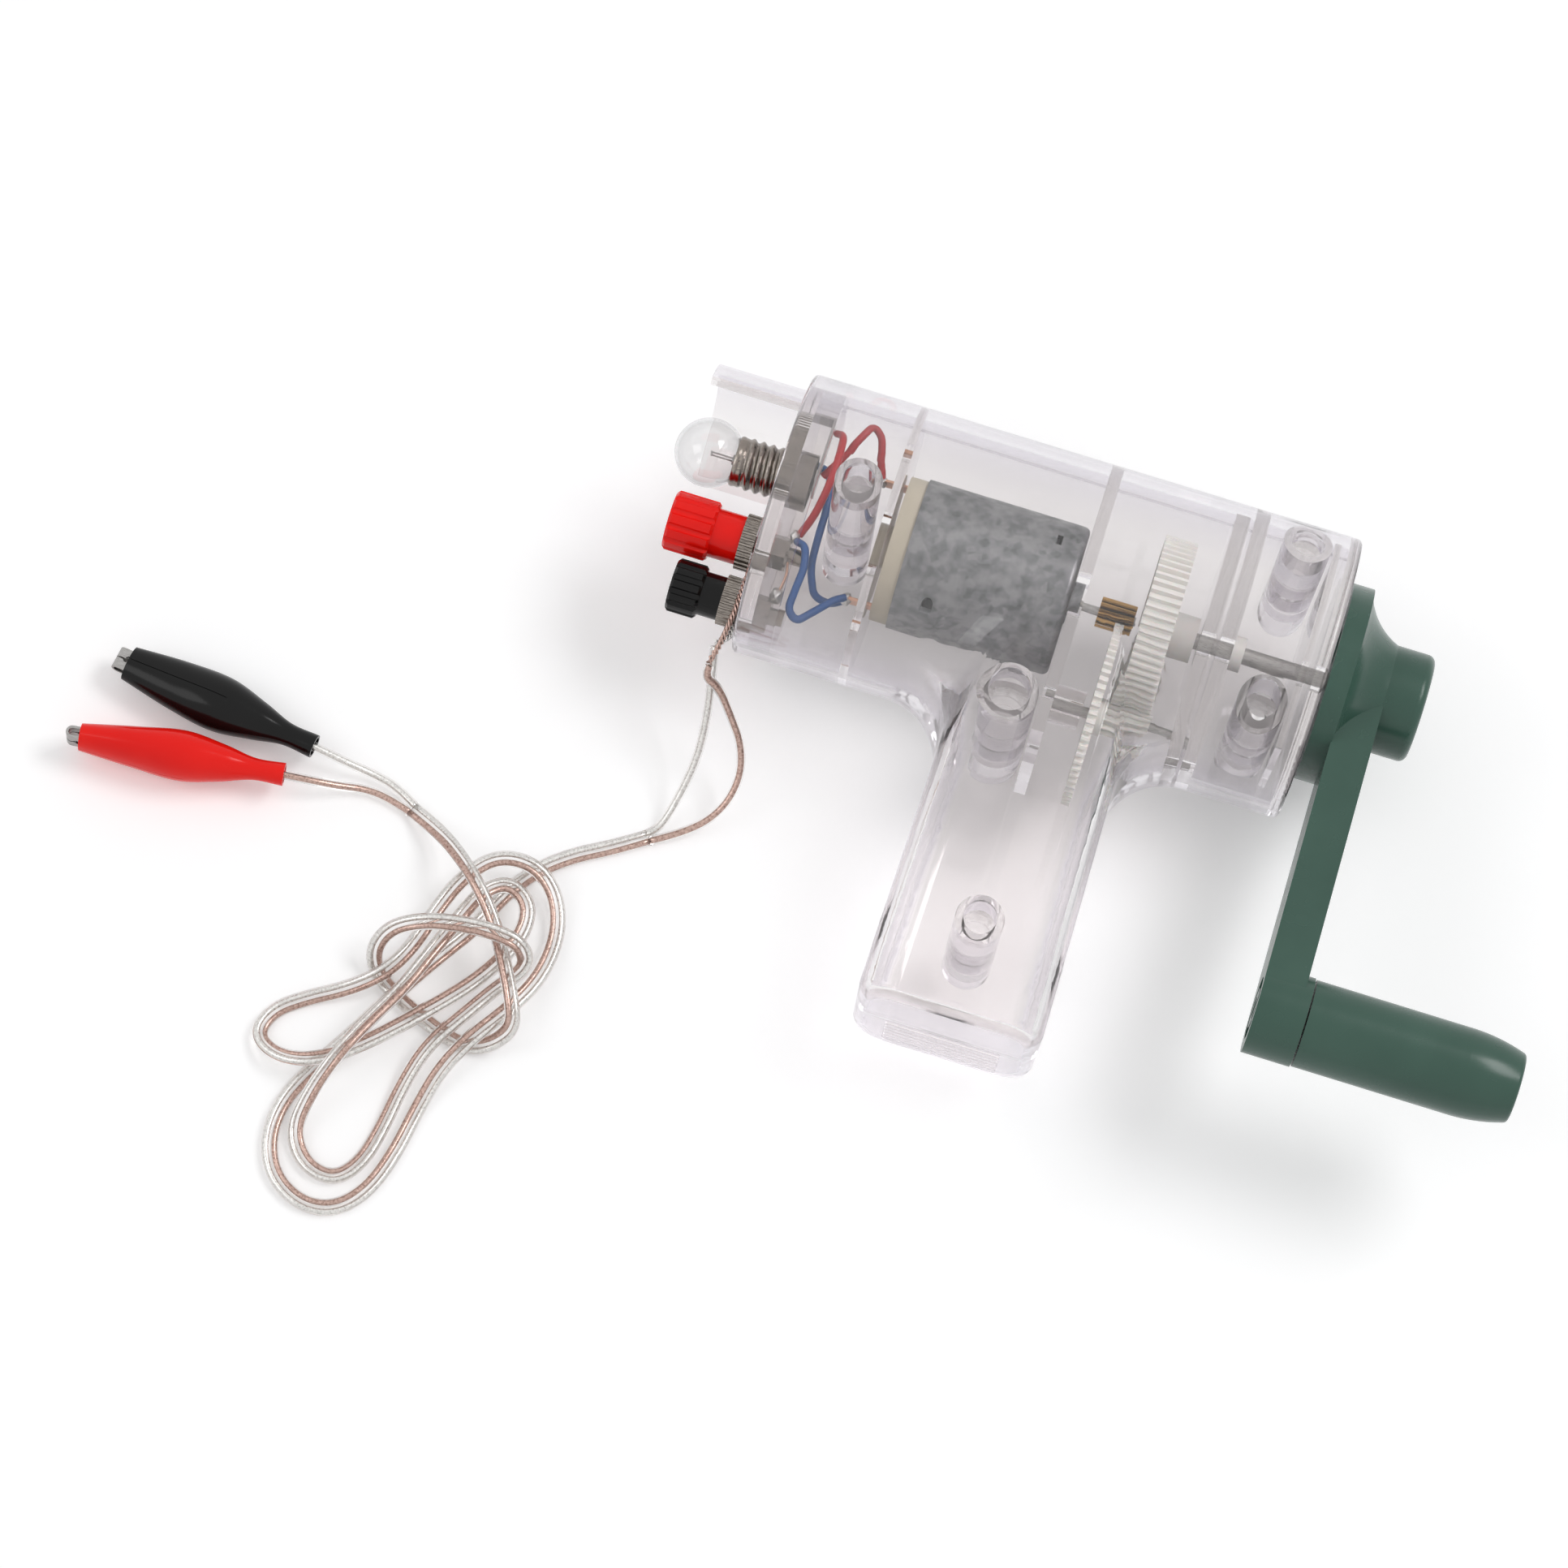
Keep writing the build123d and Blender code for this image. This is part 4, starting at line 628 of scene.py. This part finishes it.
def boot_size(x):
    """Half height and half width of a boot at x, on a smooth curve through its sections."""
    last = len(BOOT_SECTIONS) - 1
    i = max(k for k in range(last) if BOOT_SECTIONS[k][0] <= x)
    knots = [BOOT_SECTIONS[max(0, min(last, k))] for k in (i - 1, i, i + 1, i + 2)]
    span = knots[2][0] - knots[1][0]
    t = (x - knots[1][0]) / span
    found = []
    for axis in (1, 2):
        values = [knot[axis] for knot in knots]
        slope_in = (values[2] - values[0]) / max(knots[2][0] - knots[0][0], 1e-6) * span
        slope_out = (values[3] - values[1]) / max(knots[3][0] - knots[1][0], 1e-6) * span
        found.append((2 * t ** 3 - 3 * t ** 2 + 1) * values[1] + (t ** 3 - 2 * t ** 2 + t) * slope_in
                     + (3 * t ** 2 - 2 * t ** 3) * values[2] + (t ** 3 - t ** 2) * slope_out)
    return found


def boot_part(name, start, end, arc, place, body, mat):
    """A stretch of sleeve from start to end, over an arc in degrees, with its wall."""
    steps = max(8, int((end - start) * 2))
    low, high = arc
    whole = high - low >= 360
    count = 48 if whole else 25
    gaps = count if whole else count - 1
    bm = bmesh.new()
    skins = []
    for wall in (0.0, BOOT_WALL):
        rings = []
        for i in range(steps + 1):
            x = start + (end - start) * i / steps
            tall, wide = boot_size(x)
            ring = []
            for k in range(count):
                a = math.radians(low + (high - low) * k / gaps)
                v = (tall - wall) * math.sin(a)
                if not whole:
                    v = math.copysign(max(abs(v), SLIT), math.sin(math.radians((low + high) / 2)))
                ring.append(bm.verts.new(place(x, v, (wide - wall) * math.cos(a))))
            rings.append(ring)
        skins.append(rings)
        join_rings(bm, rings, gaps)
    outer, inner = skins
    for i in (0, -1):
        join_rings(bm, (outer[i], inner[i]), gaps)
    if not whole:
        for k in (0, -1):
            for i in range(steps):
                bm.faces.new((outer[i][k], outer[i + 1][k], inner[i + 1][k], inner[i][k]))
    piece = new_piece(name, bm, mat, body)
    piece.data.set_sharp_from_angle(angle=math.radians(CRISP_ANGLE))
    return piece


def boot(colour, tail, heading, on_its_side, mat):
    """The sleeve of one clip: whole tail, lower front half, and an upper front half that rides on no body."""
    along = Vector((math.cos(math.radians(heading)), math.sin(math.radians(heading)), 0.0))
    across = Vector((-along.y, along.x, 0.0))
    lift = Vector((0, 0, 1))
    tail_at = (Vector(tail) + TABLE_SHIFT) / 1000
    tall_way, wide_way = (across, lift) if on_its_side else (lift, -across)

    def place(x, v, w):
        return tail_at + along * (x / 1000) + tall_way * (v / 1000) + wide_way * (w / 1000)

    tail_piece = boot_part(f"boot_{colour}_tail", 0.0, BOOT_SPLIT, (0, 360), place, "housing", mat)
    lower = boot_part(f"boot_{colour}_lower", BOOT_SPLIT, BOOT_END, (180, 360), place, "housing", mat)
    upper = boot_part(f"boot_{colour}_upper", BOOT_SPLIT, BOOT_END, (0, 180), place, None, mat)
    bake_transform(upper)
    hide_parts(f"clip_{colour}_boot")
    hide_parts(f"clip_{colour}_flap")


boot("red", (-69.5, -67.9, 5.42), 187.2, False, RED)
boot("black", (-66.2, -60.8, 4.7), 172.5, True, BLACK)


# ---------------- floor and light ----------------
FLOOR_HALF = 4.0
FLOOR_GAP = 0.0001                # keeps the floor's face clear of the faces that lie on it
FLOOR_LIFT = 0.20                 # what brings the floor up to white where it is seen
WHITE = (1.0, 1.0, 1.0, 1.0)
WORLD_LIGHT = 0.55
WORLD_SEEN = 1.0


def seen_rays(tree):
    """1 for rays from the camera and for those that metal and glass pass on, else 0."""
    light_path = add_node(tree, "ShaderNodeLightPath")
    either = light_path.outputs["Is Camera Ray"]
    for kind in ("Is Glossy Ray", "Is Transmission Ray"):
        highest = add_node(tree, "ShaderNodeMath", operation="MAXIMUM")
        tree.links.new(either, highest.inputs[0])
        tree.links.new(light_path.outputs[kind], highest.inputs[1])
        either = highest.outputs["Value"]
    return either


def softbox(name, place, size, power):
    """A lamp that faces the row frame's origin."""
    data = bpy.data.lights.new(name, "AREA")
    data.shape = "RECTANGLE"
    data.size, data.size_y = size
    data.energy = power
    lamp = bpy.data.objects.new(name, data)
    lamp.location = place
    lamp.rotation_euler = (-Vector(place)).to_track_quat("-Z", "Y").to_euler()
    bpy.context.scene.collection.objects.link(lamp)


floor_mesh = bpy.data.meshes.new("floor")
corners = [(x * FLOOR_HALF, y * FLOOR_HALF, 0) for x, y in ((-1, -1), (1, -1), (1, 1), (-1, 1))]
floor_mesh.from_pydata(corners, [], [(0, 1, 2, 3)])
floor = bpy.data.objects.new("floor", floor_mesh)
floor.location.z = -FLOOR_GAP
bpy.context.scene.collection.objects.link(floor)
floor_mat, floor_tree, floor_shader, floor_out = material("floor")
floor_shader.inputs["Base Color"].default_value = (0.96, 0.96, 0.965, 1.0)
floor_shader.inputs["Roughness"].default_value = 0.95
floor_shader.inputs["Specular IOR Level"].default_value = 0.1
floor_mesh.materials.append(floor_mat)

lift = add_node(floor_tree, "ShaderNodeEmission")
amount = add_node(floor_tree, "ShaderNodeMath", operation="MULTIPLY")
amount.inputs[1].default_value = FLOOR_LIFT
floor_tree.links.new(seen_rays(floor_tree), amount.inputs[0])
floor_tree.links.new(amount.outputs["Value"], lift.inputs["Strength"])
floor_sum = add_node(floor_tree, "ShaderNodeAddShader")
floor_tree.links.new(floor_shader.outputs["BSDF"], floor_sum.inputs[0])
floor_tree.links.new(lift.outputs["Emission"], floor_sum.inputs[1])
floor_tree.links.new(floor_sum.outputs["Shader"], floor_out.inputs["Surface"])

world = bpy.data.worlds.new("world")
world.use_nodes = True
bpy.context.scene.world = world
world_tree = world.node_tree
light_bg = world_tree.nodes["Background"]
seen_bg = add_node(world_tree, "ShaderNodeBackground")
for background, strength in ((light_bg, WORLD_LIGHT), (seen_bg, WORLD_SEEN)):
    background.inputs["Color"].default_value = WHITE
    background.inputs["Strength"].default_value = strength
world_mix = add_node(world_tree, "ShaderNodeMixShader")
world_tree.links.new(seen_rays(world_tree), world_mix.inputs["Fac"])
world_tree.links.new(light_bg.outputs["Background"], world_mix.inputs[1])
world_tree.links.new(seen_bg.outputs["Background"], world_mix.inputs[2])
world_tree.links.new(world_mix.outputs["Shader"], world_tree.nodes["World Output"].inputs["Surface"])

softbox("key", (0.55, 0.35, 0.95), (0.55, 0.40), 4.6)
softbox("fill", (-0.85, -0.35, 0.85), (0.6, 0.6), 1.8)
